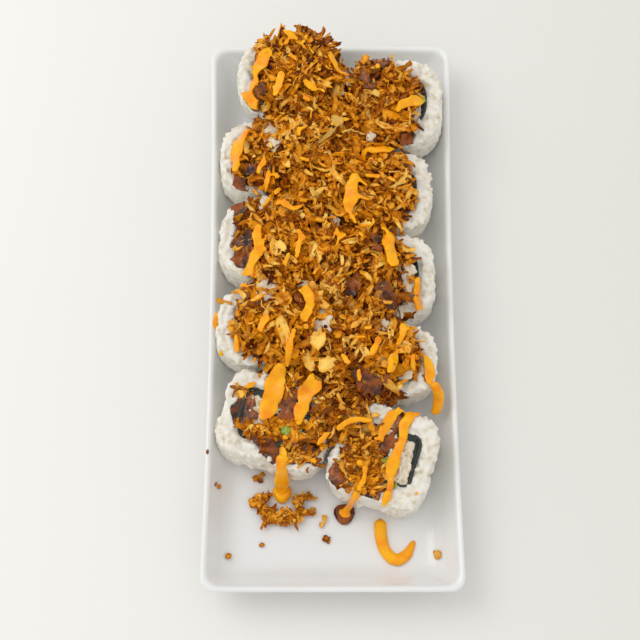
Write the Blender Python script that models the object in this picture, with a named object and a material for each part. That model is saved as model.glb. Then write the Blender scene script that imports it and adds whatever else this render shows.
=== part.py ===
"""Ten cut pieces of inside-out sushi roll on a long porcelain plate, under a heap of fried onion.

Metres, +Z up, plate centred on the origin with its long side along Y, the foot ring at z = 0.
Every node is one closed faceted solid.
"""

import math
import random

import bmesh
import bpy
from mathutils import Matrix, Vector, noise
from mathutils.bvhtree import BVHTree

MM = 0.001

# Clearance between solids that rest on or against each other
GAP = 0.4 * MM
REST_GAP = 0.6 * MM

# Height over the well floor still taken as flat, and least rise between levels of a pressed base
FLAT_LIMIT = 0.4 * MM
LEVEL_GAP = 0.35 * MM

# Plate, a long rectangle with softly bowed long sides
PLATE_WIDTH = 114 * MM
PLATE_LENGTH = 260 * MM
PLATE_CORNER = 6.5 * MM
PLATE_BOW = 2.0 * MM
CORNER_STEPS = 4
LONG_SIDE_STEPS = 6
SHORT_SIDE_STEPS = 3
WELL_FLOOR = 6 * MM

# Lip of the plate from the rim's outer edge, inward step and height in mm
LIP_SECTION = ((0.0, 18.8), (0.8, 20.0), (2.3, 19.6))

# Hollow-curved wall inside the lip: start, reach, height in mm and curve
WALL_START = 3.2
WALL_REACH = 15.0
WALL_HEIGHT = 12.0
WALL_CURVE = 2.6
WALL_SHARES = (0.0, 0.15, 0.32, 0.52, 0.75, 1.0)

# Under side, from the foot recess out to the rim, in mm
UNDER_SECTION = ((26.0, 1.5), (24.8, 0.0), (21.0, 0.0), (19.6, 1.6), (13.0, 3.4), (7.0, 8.0), (3.0, 13.3), (1.0, 17.2))

# Piece of roll, sizes in mm
GRAIN_BUMP = 0.9
CORE_SHARE = 0.55
SEAWEED_BAND = 1.1

# Pieces of roll: centre x, y, width, depth, height, squareness, base rounding, turn, far side up, right side up
ROLLS = {
    "roll_l1": (-21.4, 111.0, 47.0, 41.5, 28.5, 2.7, 9.0, 8.0, 13.0, -1.0),
    "roll_r1": (31.8, 94.4, 45.0, 45.0, 26.0, 3.0, 6.0, -4.0, 2.0, 6.0),
    "roll_l2": (-28.4, 66.0, 47.5, 38.0, 26.5, 3.0, 6.0, 2.0, 0.0, -2.5),
    "roll_r2": (24.6, 50.2, 45.0, 40.5, 26.0, 3.0, 6.0, 0.0, 0.0, 1.5),
    "roll_l3": (-28.0, 26.1, 47.5, 39.5, 26.0, 3.2, 6.0, -2.0, 0.0, -2.0),
    "roll_r3": (25.0, 8.8, 45.5, 40.5, 26.0, 3.2, 6.0, 2.0, 0.5, 2.0),
    "roll_l4": (-28.4, -15.0, 48.0, 38.0, 26.0, 3.2, 6.0, -6.0, 0.0, -2.0),
    "roll_r4": (24.6, -29.8, 45.0, 34.5, 26.0, 3.2, 6.0, -4.0, 0.0, 1.0),
    "roll_l5": (-25.0, -57.5, 50.3, 40.5, 26.0, 4.8, 5.5, -15.5, -0.5, -1.5),
    "roll_r5": (22.3, -72.3, 45.8, 44.0, 26.0, 4.8, 4.5, -17.0, 1.0, 0.5),
}
FRONT_STEPS = 28
COVERED_STEPS = 22

# Mounds of fried onion, one on each covered piece: offset x, y, half width, half depth, height, in mm
MOUNDS = {
    "roll_l1": (4.5, -1.5, 22.0, 23.0, 6.0),
    "roll_r1": (-6.0, -2.5, 18.0, 22.5, 6.0),
    "roll_l2": (8.0, 0.0, 25.0, 22.0, 7.0),
    "roll_r2": (-9.5, 1.0, 23.5, 24.5, 7.0),
    "roll_l3": (8.5, 0.0, 25.0, 23.5, 7.5),
    "roll_r3": (-11.0, 0.0, 23.0, 24.0, 8.0),
    "roll_l4": (9.5, 1.0, 26.0, 21.0, 7.0),
    "roll_r4": (-9.5, 1.0, 23.0, 20.5, 6.5),
}
MOUND_SINK = 4.5

# Onion lying over the gaps between pieces: x, y, half width, half depth, lowest and highest point, in mm
BRIDGES = (
    (2.5, 82.0, 11.5, 13.5, 26.0, 37.5),
    (-2.5, -37.6, 10.5, 5.4, 24.0, 34.0),
)
MOUND_STEPS = 14
MOUND_SECTION = ((1.0, 0.0), (0.93, 0.55), (0.74, 0.85), (0.42, 0.97))

# Fried onion pieces, in mm
FLAKE_LENGTH = (7.0, 13.0)
FLAKE_WIDTH = (2.2, 3.4)
FLAKE_THICKNESS = 1.3
FLAKES_PER_MOUND = 14

# Thick sauce stripes on the heap: half width in mm and plan points in mm
HEAP_STRIPES = (
    (2.6, ((10.9, 55.0), (9.6, 48.0), (8.4, 41.0))),
    (2.4, ((-9.7, -10.5), (-11.8, -19.0), (-14.0, -27.5))),
    (2.2, ((29.5, 23.0), (26.5, 14.0), (26.0, 4.0))),
    (2.2, ((33.5, -24.0), (29.0, -33.0), (25.0, -41.0))),
    (2.4, ((-33.0, 33.0), (-35.0, 23.0), (-37.5, 13.0))),
)

# Thick sauce stripes on single pieces: piece, half width in mm and plan points in mm
ROLL_STRIPES = (
    ("roll_l5", 3.4, ((-25.6, -40.0), (-27.3, -48.0), (-30.0, -56.5))),
    ("roll_l5", 3.2, ((-9.6, -46.5), (-12.2, -52.0), (-14.6, -59.0))),
    ("roll_l5", 2.6, ((-21.0, -67.0), (-21.4, -72.0), (-21.8, -76.0))),
    ("roll_r5", 2.6, ((29.0, -53.0), (24.6, -59.0), (19.5, -66.5))),
    ("roll_r5", 2.7, ((32.8, -55.5), (29.6, -65.0), (26.8, -75.0), (23.6, -84.0))),
    ("roll_l2", 2.6, ((-45.6, 71.5), (-46.4, 65.5), (-46.2, 60.0))),
    ("roll_r3", 2.2, ((38.6, -0.5), (39.2, -4.5), (39.6, -8.0))),
    ("roll_r4", 3.0, ((41.5, -34.5), (43.0, -37.5), (43.8, -40.0))),
)

# Fried onion pieces on the two front pieces: piece, centre x, y, length, width, turn
ROLL_FLAKES = (
    ("roll_l5", -36.0, -61.5, 11.0, 2.8, 12.0),
    ("roll_l5", -18.6, -65.0, 9.0, 3.0, 70.0),
    ("roll_l5", -14.5, -70.0, 8.0, 3.0, 20.0),
    ("roll_l5", -8.5, -66.5, 9.0, 2.8, -35.0),
    ("roll_r5", 8.8, -58.5, 12.0, 3.0, 10.0),
    ("roll_r5", 13.5, -63.5, 9.0, 2.8, -30.0),
    ("roll_r5", 8.0, -69.0, 10.0, 3.0, 60.0),
    ("roll_r5", 12.0, -76.5, 9.0, 3.2, 20.0),
    ("roll_r5", 17.5, -72.5, 8.0, 2.8, -60.0),
    ("roll_r5", 17.0, -82.0, 9.0, 3.0, 35.0),
)

# Loose bits on the floor of the plate, in mm
HOOK_ROUTE = ((21.1, -97.5), (21.3, -103.0), (22.9, -109.5), (27.5, -114.0), (32.5, -111.5), (35.6, -106.0))
HOOK_HALF_WIDTH = (2.9, 2.9, 2.7, 2.9, 2.5, 1.2)
DROP_CENTRE = (5.4, -93.6)
DROP_RADIUS = 4.8
DROP_HEIGHT = 2.6
BLOB_CENTRE = (-22.0, -84.4)
BLOB_RADIUS = 4.4
BLOB_HEIGHT = 4.2

# Clump of fried onion on the floor: strips as x, y, length, width, turn, then chips as x, y, radius
CLUMP_STRIPS = (
    (-31.0, -87.6, 8.5, 3.2, 32.0),
    (-31.0, -91.4, 6.5, 3.0, -65.0),
    (-15.0, -90.6, 9.5, 2.8, -72.0),
    (-11.6, -93.4, 9.0, 3.0, 8.0),
    (-12.6, -86.6, 8.5, 3.2, 12.0),
)
CLUMP_CHIPS = ((-27.2, -94.6, 4.4), (-20.4, -95.2, 4.4), (-16.6, -95.4, 3.0))

# Share of triangles kept where pieces are fused
KEPT_SHARE = 0.66

# Base colour and roughness of each kind of material
LOOKS = {
    "porcelain": ((0.86, 0.86, 0.85, 1.0), 0.25),
    "rice": ((0.80, 0.78, 0.70, 1.0), 0.45),
    "fried_onion": ((0.45, 0.20, 0.04, 1.0), 0.5),
    "mayo": ((0.90, 0.35, 0.03, 1.0), 0.3),
    "dark_sauce": ((0.10, 0.03, 0.01, 1.0), 0.2),
}


def give_look(made, kind):
    """Give a node its own Principled material of one kind."""
    colour, roughness = LOOKS[kind]
    look = bpy.data.materials.new("{}_{}".format(made.name, kind))
    look.use_nodes = True
    shader = look.node_tree.nodes["Principled BSDF"]
    shader.inputs["Base Color"].default_value = colour
    shader.inputs["Roughness"].default_value = roughness
    look.diffuse_color = colour
    made.data.materials.clear()
    made.data.materials.append(look)


def mesh_object(name, verts, faces, smooth=False):
    """Object from points and faces, normals turned outward."""
    mesh = bpy.data.meshes.new(name)
    work = bmesh.new()
    points = [work.verts.new(v) for v in verts]
    for face in faces:
        work.faces.new([points[i] for i in face])
    bmesh.ops.recalc_face_normals(work, faces=work.faces)
    bmesh.ops.triangulate(work, faces=work.faces)
    work.to_mesh(mesh)
    work.free()
    for polygon in mesh.polygons:
        polygon.use_smooth = smooth
    made = bpy.data.objects.new(name, mesh)
    bpy.context.scene.collection.objects.link(made)
    return made


def ring_stack(rings, cap_start, cap_end):
    """Points and faces of stacked rings; a cap is a centre point, or None for one flat face."""
    verts = [p for ring in rings for p in ring]
    count = len(rings[0])
    faces = []
    for level in range(len(rings) - 1):
        low = level * count
        high = low + count
        for i in range(count):
            j = (i + 1) % count
            faces.append((low + i, low + j, high + j, high + i))
    for cap, base in ((cap_start, 0), (cap_end, (len(rings) - 1) * count)):
        if cap is None:
            faces.append(tuple(base + i for i in range(count)))
            continue
        verts.append(cap)
        tip = len(verts) - 1
        faces.extend((base + i, base + (i + 1) % count, tip) for i in range(count))
    return verts, faces


def plate_ring(inset, height):
    """Rounded rectangle inset from the rim's outer edge, long sides bowed inward."""
    half_x = PLATE_WIDTH / 2 - inset
    half_y = PLATE_LENGTH / 2 - inset
    corner = max(PLATE_CORNER - inset * 0.25, 2.5 * MM)
    arcs = []
    for quarter, (sx, sy) in enumerate(((1, 1), (-1, 1), (-1, -1), (1, -1))):
        centre = Vector((sx * (half_x - corner), sy * (half_y - corner), 0))
        for step in range(CORNER_STEPS + 1):
            angle = math.pi / 2 * (quarter + step / CORNER_STEPS)
            arcs.append(centre + Vector((math.cos(angle), math.sin(angle), 0)) * corner)
    points = []
    for index, point in enumerate(arcs):
        after = arcs[(index + 1) % len(arcs)]
        long_side = abs(after.y - point.y) > half_y
        short_side = abs(after.x - point.x) > half_x
        steps = LONG_SIDE_STEPS if long_side else SHORT_SIDE_STEPS if short_side else 1
        points.extend(point.lerp(after, step / steps) for step in range(steps))
    for point in points:
        reach = 1 - (point.y / (PLATE_LENGTH / 2)) ** 2
        point.x -= PLATE_BOW * reach * point.x / half_x
        point.z = height
    return points


def build_plate():
    """Porcelain plate with lip, hollow-curved walls, flat well and foot ring."""
    section = list(UNDER_SECTION) + list(LIP_SECTION)
    for share in WALL_SHARES:
        rise = WALL_HEIGHT * (1 - share) ** WALL_CURVE
        section.append((WALL_START + WALL_REACH * share, WELL_FLOOR / MM + rise))
    rings = [plate_ring(inset * MM, height * MM) for inset, height in section]
    verts, faces = ring_stack(rings, None, None)
    return mesh_object("plate", verts, faces, smooth=True)


def outline_point(step, steps, half_width, half_depth, power):
    """Point on a squarish oval outline, evenly spread round it."""
    angle = math.tau * (step + 0.5) / steps
    x = math.copysign(abs(math.cos(angle)) ** (2 / power), math.cos(angle))
    y = math.copysign(abs(math.sin(angle)) ** (2 / power), math.sin(angle))
    return Vector((x * half_width, y * half_depth, 0))


def roll_section(seed, slice_height, heel):
    """Section of a slice from its base round to its cut face.

    Each entry is inset from the outline in mm, share of the outline's size, height in mm and bump share.
    """
    draw = random.Random(seed)
    crown = draw.uniform(-0.4, 0.5)
    return (
        (heel + 1.0, 1.0, 0.0, 0.0),
        (heel * 0.42, 1.0, heel * 0.19, 0.3),
        (heel * 0.1, 1.0, heel * 0.56, 0.8),
        (0.0, 1.0, heel * 1.1, 1.0),
        (0.0, 1.0, (heel * 1.1 + 20.0) / 2, 1.0),
        (0.1, 1.0, 20.0, 1.0),
        (1.2, 1.0, slice_height - 1.9, 1.0),
        (3.6, 1.0, slice_height - 0.1, 1.0),
        (0.0, CORE_SHARE, slice_height - 0.2, 0.5),
        (SEAWEED_BAND, CORE_SHARE, slice_height - 1.2, 0.0),
        (SEAWEED_BAND, CORE_SHARE * 0.6, slice_height - 0.6 + crown, 0.9),
    )


def bump(point, seed):
    """Rice-size unevenness between 0 and 1."""
    shifted = Vector((point.x / 3.1 + seed * 7.3, point.y / 3.1 - seed * 2.1, point.z / 3.7))
    return min(1.0, max(0.0, 0.5 + 0.9 * noise.noise(shifted)))


def build_roll(name, seed):
    """One slice of roll: lumpy rice wall, stepped cut face, in its own frame, sizes in mm."""
    width, depth, slice_height, power, heel = ROLLS[name][2:7]
    steps = FRONT_STEPS if name.endswith("5") else COVERED_STEPS
    rings = []
    for inset, spread, height, share in roll_section(seed, slice_height, heel):
        ring = []
        for step in range(steps):
            point = outline_point(step, steps, width / 2 * spread - inset, depth / 2 * spread - inset, power)
            point.z = height
            lump = GRAIN_BUMP * share * bump(point, seed)
            if height > slice_height - 1.5:
                point.z -= lump
            else:
                radius = math.hypot(point.x, point.y)
                point.x *= 1 - lump / radius
                point.y *= 1 - lump / radius
            ring.append(point)
        rings.append(ring)
    face = Vector((0, 0, slice_height - 0.8))
    verts, faces = ring_stack(rings, None, face)
    made = mesh_object(name, [v * MM for v in verts], faces, smooth=True)
    return made


def roll_frame(name, lift=0.0):
    """Placement of a slice over the plate."""
    x, y = ROLLS[name][:2]
    turn, far_up, right_up = ROLLS[name][7:]
    lean = Matrix.Rotation(math.radians(far_up), 4, "X") @ Matrix.Rotation(math.radians(-right_up), 4, "Y")
    return Matrix.Translation((x * MM, y * MM, lift)) @ Matrix.Rotation(math.radians(turn), 4, "Z") @ lean


def tree_of(made):
    """Search tree of an object's world mesh."""
    work = bmesh.new()
    work.from_mesh(made.data)
    tree = BVHTree.FromBMesh(work)
    work.free()
    return tree


def settle(made, name, plate_tree):
    """Set a slice down on the well floor, press its base to the walls and return its placement."""
    down = Vector((0, 0, -1))
    frame = roll_frame(name, 0.0)
    lift = -1.0
    for vertex in made.data.vertices:
        point = frame @ vertex.co
        hit = plate_tree.ray_cast(Vector((point.x, point.y, 0.1)), down)[0]
        if hit is not None and hit.z < WELL_FLOOR + FLAT_LIMIT:
            lift = max(lift, hit.z - point.z)
    frame = roll_frame(name, lift + REST_GAP)
    made.data.transform(frame)
    steps = FRONT_STEPS if name.endswith("5") else COVERED_STEPS
    for vertex in made.data.vertices:
        hit = plate_tree.ray_cast(Vector((vertex.co.x, vertex.co.y, 0.1)), down)[0]
        if hit is not None:
            level = vertex.index // steps
            vertex.co.z = max(vertex.co.z, hit.z + REST_GAP + LEVEL_GAP * level)
    return frame


def join_solids(target, others, operation, solver="MANIFOLD"):
    """Boolean of a target with a whole collection of solids, then the solids are removed."""
    group = bpy.data.collections.new("parts_of_" + target.name)
    bpy.context.scene.collection.children.link(group)
    for other in others:
        bpy.context.scene.collection.objects.unlink(other)
        group.objects.link(other)
        other.hide_render = True
        other.display_type = "WIRE"
    change = target.modifiers.new("solids", "BOOLEAN")
    change.operation = operation
    change.operand_type = "COLLECTION"
    change.collection = group
    change.solver = solver
    bpy.context.view_layer.objects.active = target
    bpy.ops.object.modifier_apply(modifier=change.name)
    for other in list(group.objects):
        bpy.data.objects.remove(other, do_unlink=True)
    bpy.data.collections.remove(group)


def keep_main_shell(made):
    """Drop every shell but the largest, so no loose scrap and no sealed hollow stays."""
    work = bmesh.new()
    work.from_mesh(made.data)
    bmesh.ops.triangulate(work, faces=work.faces)
    work.faces.ensure_lookup_table()
    seen = set()
    shells = []
    for face in work.faces:
        if face.index in seen:
            continue
        seen.add(face.index)
        stack, shell = [face], []
        while stack:
            current = stack.pop()
            shell.append(current)
            for edge in current.edges:
                for near in edge.link_faces:
                    if near.index not in seen:
                        seen.add(near.index)
                        stack.append(near)
        shells.append(shell)
    shells.sort(key=lambda s: sum(f.calc_area() for f in s))
    scraps = [f for shell in shells[:-1] for f in shell]
    if scraps:
        bmesh.ops.delete(work, geom=scraps, context="FACES")
        loose = [v for v in work.verts if not v.link_faces]
        bmesh.ops.delete(work, geom=loose, context="VERTS")
    bmesh.ops.recalc_face_normals(work, faces=work.faces)
    work.to_mesh(made.data)
    work.free()


def thin_out(made):
    """Drop the slivers that a union leaves, keeping the form."""
    change = made.modifiers.new("thin_out", "DECIMATE")
    change.ratio = KEPT_SHARE
    bpy.context.view_layer.objects.active = made
    bpy.ops.object.modifier_apply(modifier=change.name)


def tube(name, centres, half_widths, half_heights, sides):
    """Flattened tube along a route, closed by a tip at each end, sizes in mm."""
    rings = []
    for index, centre in enumerate(centres):
        before = centres[max(index - 1, 0)]
        after = centres[min(index + 1, len(centres) - 1)]
        along = (after - before).normalized()
        across = Vector((along.y, -along.x, 0)).normalized()
        up = across.cross(along)
        if up.z < 0:
            up = -up
        ring = []
        for side in range(sides):
            angle = math.tau * side / sides
            offset = across * (math.cos(angle) * half_widths[index])
            offset += up * (math.sin(angle) * half_heights[index])
            ring.append((centre + offset) * MM)
        rings.append(ring)
    first = (centres[0] + (centres[0] - centres[1]).normalized() * half_widths[0] * 0.7) * MM
    last = (centres[-1] + (centres[-1] - centres[-2]).normalized() * half_widths[-1] * 0.7) * MM
    verts, faces = ring_stack(rings, first, last)
    return mesh_object(name, verts, faces)


def flake(name, length, width, bend, frame):
    """Curled strip of fried onion with three bays, sizes in mm, placed by its frame."""
    bays = 3
    rings = []
    for step in range(bays + 1):
        share = step / bays - 0.5
        angle = bend * share
        radius = length / bend
        centre = Vector((math.sin(angle) * radius, 0, (1 - math.cos(angle)) * -radius))
        out = Vector((math.sin(angle), 0, math.cos(angle)))
        taper = 1.0 - 0.5 * abs(share)
        half = Vector((0, width / 2 * taper, 0))
        thick = out * (FLAKE_THICKNESS / 2)
        rings.append([frame @ ((centre + a * half + b * thick) * MM) for a, b in ((1, 1), (-1, 1), (-1, -1), (1, -1))])
    verts, faces = ring_stack(rings, None, None)
    return mesh_object(name, verts, faces)


def disc(name, radius, frame):
    """Small flat chip of fried onion with six sides, placed by its frame."""
    rings = []
    for level, spread in ((-0.5, 0.8), (0.5, 1.0)):
        ring = []
        for side in range(6):
            angle = math.tau * side / 6
            reach = radius * spread * (1.0 + 0.2 * math.sin(side * 2.3 + radius))
            point = Vector((reach * math.cos(angle), reach * math.sin(angle), level * FLAKE_THICKNESS * 1.2))
            ring.append(frame @ (point * MM))
        rings.append(ring)
    verts, faces = ring_stack(rings, None, None)
    return mesh_object(name, verts, faces)


def build_mound(name, frame, seed):
    """Low lumpy dome of onion on the cut face of one slice."""
    dx, dy, half_x, half_y, height = MOUNDS[name]
    slice_height = ROLLS[name][4]
    rings = []
    for share, rise in MOUND_SECTION:
        ring = []
        for step in range(MOUND_STEPS):
            angle = math.tau * step / MOUND_STEPS
            way = Vector((math.cos(angle), math.sin(angle), seed * 3.7 + share))
            wave = 1.0 + 0.14 * noise.noise(way * 1.7)
            z = slice_height - MOUND_SINK + (height + MOUND_SINK) * rise
            z += 2.2 * noise.noise(way * 2.3 + Vector((0, 0, 5))) * rise
            x = dx + half_x * share * wave * math.cos(angle)
            y = dy + half_y * share * wave * math.sin(angle)
            ring.append(frame @ (Vector((x, y, z)) * MM))
        rings.append(ring)
    top = frame @ (Vector((dx, dy, slice_height + height)) * MM)
    verts, faces = ring_stack(rings, None, top)
    return mesh_object("mound_" + name, verts, faces)


def build_bridge(name, x, y, half_x, half_y, low, high):
    """Lump of onion over a gap between slices."""
    rings = []
    for share, rise in ((0.72, 0.0),) + MOUND_SECTION[1:]:
        ring = []
        for step in range(MOUND_STEPS):
            angle = math.tau * step / MOUND_STEPS
            wave = 1.0 + 0.12 * noise.noise(Vector((math.cos(angle), math.sin(angle), x)) * 1.7)
            reach = Vector((half_x * math.cos(angle), half_y * math.sin(angle), 0)) * share * wave
            ring.append((Vector((x, y, low + (high - low) * rise)) + reach) * MM)
        rings.append(ring)
    verts, faces = ring_stack(rings, None, Vector((x, y, high)) * MM)
    return mesh_object(name, verts, faces)


def roll_cutter(name, frame):
    """Slice envelope a little larger than the slice itself, used to clear the heap from it."""
    width, depth, slice_height, power, heel = ROLLS[name][2:7]
    spare = GAP / MM + 0.15
    section = ((heel * 0.1, heel * 0.5), (0.0, heel * 1.1), (0.0, 20.4), (1.0, slice_height - 1.7),
               (3.4, slice_height))
    rings = []
    for inset, height in section:
        reach = spare + 0.2 - inset
        ring = [outline_point(step, 24, width / 2 + reach, depth / 2 + reach, power) for step in range(24)]
        for point in ring:
            point.z = height + spare
        rings.append([frame @ (point * MM) for point in ring])
    verts, faces = ring_stack(rings, None, None)
    return mesh_object("clear_" + name, verts, faces)


def surface_height(tree, x, y, fallback):
    """Height of a surface under a plan point, in mm."""
    hit = tree.ray_cast(Vector((x * MM, y * MM, 0.2)), Vector((0, 0, -1)))[0]
    return hit.z / MM if hit is not None else fallback


def resample(points, count):
    """Evenly spaced plan points along a smooth curve through a route."""
    spans = len(points) - 1
    result = []
    for step in range(count):
        place = spans * step / (count - 1)
        index = min(int(place), spans - 1)
        t = place - index
        p0 = points[max(index - 1, 0)]
        p1 = points[index]
        p2 = points[index + 1]
        p3 = points[min(index + 2, spans)]
        result.append(tuple(
            0.5 * (2 * p1[k] + (p2[k] - p0[k]) * t + (2 * p0[k] - 5 * p1[k] + 4 * p2[k] - p3[k]) * t * t
                   + (3 * p1[k] - p0[k] - 3 * p2[k] + p3[k]) * t ** 3)
            for k in range(len(p1))))
    return result


def stripe(name, half_width, route, tree, count=5, sides=6):
    """Thick sauce stripe draped over a surface."""
    plan = resample(route, count)
    heights = [surface_height(tree, x, y, 30.0) for x, y in plan]
    centres = [Vector((x, y, z + 0.2)) for (x, y), z in zip(plan, heights)]
    wide = [half_width * (0.8 + 0.2 * math.sin(i * 2.1)) for i in range(count)]
    tall = [half_width * 0.6] * count
    return tube(name, centres, wide, tall, sides)


def build_heap(frames):
    """Heap of fried onion: mounds, curled strips, chips and thick sauce stripes, cleared of the slices."""
    draw = random.Random(41)
    mounds = [build_mound(name, frames[name], index) for index, name in enumerate(MOUNDS)]
    mounds.extend(build_bridge("bridge_{}".format(index), *sizes) for index, sizes in enumerate(BRIDGES))
    heap = mounds[0]
    heap.name = "onion_heap"
    join_solids(heap, mounds[1:], "UNION")
    tree = tree_of(heap)
    extras = []
    for name in MOUNDS:
        dx, dy, half_x, half_y, height = MOUNDS[name]
        for number in range(FLAKES_PER_MOUND):
            angle = draw.uniform(0, math.tau)
            reach = math.sqrt(draw.uniform(0.02, 0.86))
            place = frames[name] @ (Vector((dx + half_x * reach * math.cos(angle),
                                            dy + half_y * reach * math.sin(angle), 0)) * MM)
            z = surface_height(tree, place.x / MM, place.y / MM, 32.0)
            spin = Matrix.Rotation(draw.uniform(0, math.tau), 4, "Z")
            lean = Matrix.Rotation(draw.uniform(-0.45, 0.45), 4, "Y") @ Matrix.Rotation(draw.uniform(-0.5, 0.5), 4, "X")
            frame = Matrix.Translation((place.x, place.y, (z + draw.uniform(0.0, 0.7)) * MM)) @ spin @ lean
            label = "flake_{}_{}".format(name, number)
            if number % 4 == 3:
                extras.append(disc(label, draw.uniform(2.4, 3.4), frame))
            else:
                extras.append(flake(label, draw.uniform(*FLAKE_LENGTH), draw.uniform(*FLAKE_WIDTH),
                                    draw.uniform(0.9, 1.9), frame))
    for number, (half_width, route) in enumerate(HEAP_STRIPES):
        extras.append(stripe("heap_stripe_{}".format(number), half_width, route, tree))
    join_solids(heap, extras, "UNION")
    join_solids(heap, [roll_cutter(name, frames[name]) for name in ROLLS], "DIFFERENCE")
    keep_main_shell(heap)
    thin_out(heap)
    return heap


def add_toppings(name, made):
    """Fuse the thick sauce stripes and onion strips that lie on one slice."""
    tree = tree_of(made)
    extras = []
    for number, (owner, half_width, route) in enumerate(ROLL_STRIPES):
        if owner == name:
            extras.append(stripe("stripe_{}_{}".format(name, number), half_width, route, tree))
    draw = random.Random(17)
    for number, (owner, x, y, length, width, turn) in enumerate(ROLL_FLAKES):
        lean = Matrix.Rotation(draw.uniform(-0.2, 0.2), 4, "X")
        z = surface_height(tree, x, y, 31.0)
        if owner == name:
            frame = Matrix.Translation((x * MM, y * MM, (z + 1.0) * MM))
            frame = frame @ Matrix.Rotation(math.radians(turn), 4, "Z") @ lean
            extras.append(flake("strip_{}_{}".format(name, number), length, width, 1.5, frame))
    if extras:
        join_solids(made, extras, "UNION")
        keep_main_shell(made)
        thin_out(made)


def build_hook(plate_tree):
    """Hook of thick sauce on the floor of the plate."""
    plan = resample(HOOK_ROUTE, 12)
    widths = [w[0] for w in resample([(w,) for w in HOOK_HALF_WIDTH], 12)]
    rings = []
    for index, (x, y) in enumerate(plan):
        before = Vector(plan[max(index - 1, 0)])
        after = Vector(plan[min(index + 1, len(plan) - 1)])
        along = (after - before).normalized()
        across = Vector((along.y, -along.x))
        ring = []
        for share, height in ((-1.0, 0.0), (-0.85, 0.55), (-0.4, 1.0), (0.4, 1.0), (0.85, 0.55), (1.0, 0.0)):
            spot = Vector((x, y)) + across * (widths[index] * share)
            floor = surface_height(plate_tree, spot.x, spot.y, WELL_FLOOR / MM) + GAP / MM
            ring.append(Vector((spot.x, spot.y, floor + height * widths[index] * 0.75)) * MM)
        rings.append(ring)
    tips = []
    for end, near in ((0, 1), (-1, -2)):
        way = (Vector(plan[end]) - Vector(plan[near])).normalized() * widths[end] * 0.8
        x, y = plan[end][0] + way.x, plan[end][1] + way.y
        tips.append(Vector((x, y, surface_height(plate_tree, x, y, WELL_FLOOR / MM) + GAP / MM + 0.1)) * MM)
    verts, faces = ring_stack(rings, tips[0], tips[1])
    return mesh_object("mayo_hook", verts, faces, smooth=True)


def build_drop(name, centre, radius, height):
    """Round drop of sauce on the floor of the plate."""
    floor = WELL_FLOOR / MM + GAP / MM
    rings = []
    for share, rise in ((1.0, 0.0), (0.96, 0.45), (0.72, 0.85)):
        ring = []
        for step in range(14):
            angle = math.tau * step / 14
            reach = radius * share * (1 + 0.08 * math.sin(3 * angle))
            ring.append(Vector((centre[0] + reach * math.cos(angle), centre[1] + reach * math.sin(angle),
                                floor + height * rise)) * MM)
        rings.append(ring)
    top = Vector((centre[0], centre[1], floor + height)) * MM
    verts, faces = ring_stack(rings, None, top)
    return mesh_object(name, verts, faces, smooth=True)


def build_clump():
    """Clump of fried onion strips and chips on the floor of the plate."""
    bend = 1.2
    pieces = []
    for number, (x, y, length, width, turn) in enumerate(CLUMP_STRIPS):
        drop = length / bend * (1 - math.cos(bend / 2)) + FLAKE_THICKNESS / 2 + 0.2
        frame = Matrix.Translation((x * MM, y * MM, WELL_FLOOR + GAP + drop * MM))
        frame = frame @ Matrix.Rotation(math.radians(turn), 4, "Z")
        pieces.append(flake("clump_strip_{}".format(number), length, width, bend, frame))
    for number, (x, y, radius) in enumerate(CLUMP_CHIPS):
        frame = Matrix.Translation((x * MM, y * MM, WELL_FLOOR + GAP + 1.3 * FLAKE_THICKNESS * MM))
        pieces.append(disc("clump_chip_{}".format(number), radius, frame))
    clump = pieces[0]
    clump.name = "front_onions"
    join_solids(clump, pieces[1:], "UNION")
    keep_main_shell(clump)
    thin_out(clump)
    return clump


def main():
    """Build every node."""
    for old in list(bpy.data.objects):
        bpy.data.objects.remove(old, do_unlink=True)

    plate = build_plate()
    give_look(plate, "porcelain")
    plate_tree = tree_of(plate)

    frames = {}
    slices = {}
    for index, name in enumerate(ROLLS):
        slices[name] = build_roll(name, index)
        frames[name] = settle(slices[name], name, plate_tree)

    give_look(build_heap(frames), "fried_onion")
    for name, made in slices.items():
        add_toppings(name, made)
        give_look(made, "rice")

    give_look(build_hook(plate_tree), "mayo")
    give_look(build_drop("sauce_drop", DROP_CENTRE, DROP_RADIUS, DROP_HEIGHT), "dark_sauce")
    give_look(build_drop("mayo_blob", BLOB_CENTRE, BLOB_RADIUS, BLOB_HEIGHT), "mayo")
    give_look(build_clump(), "fried_onion")


main()
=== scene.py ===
"""Crunchy california roll: ten slices on a long porcelain plate under crisp fried onion, mayo and dark sauce.

Every size in the data below is in millimetres on the plate's own axes and is turned into metres where it is used.
"""

import sys
import logging
import math
import random
from dataclasses import dataclass, field
from enum import Enum
from typing import Callable, Optional, Sequence

import bpy
import numpy as np
from mathutils import Matrix, Vector, noise
from mathutils.bvhtree import BVHTree


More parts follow.
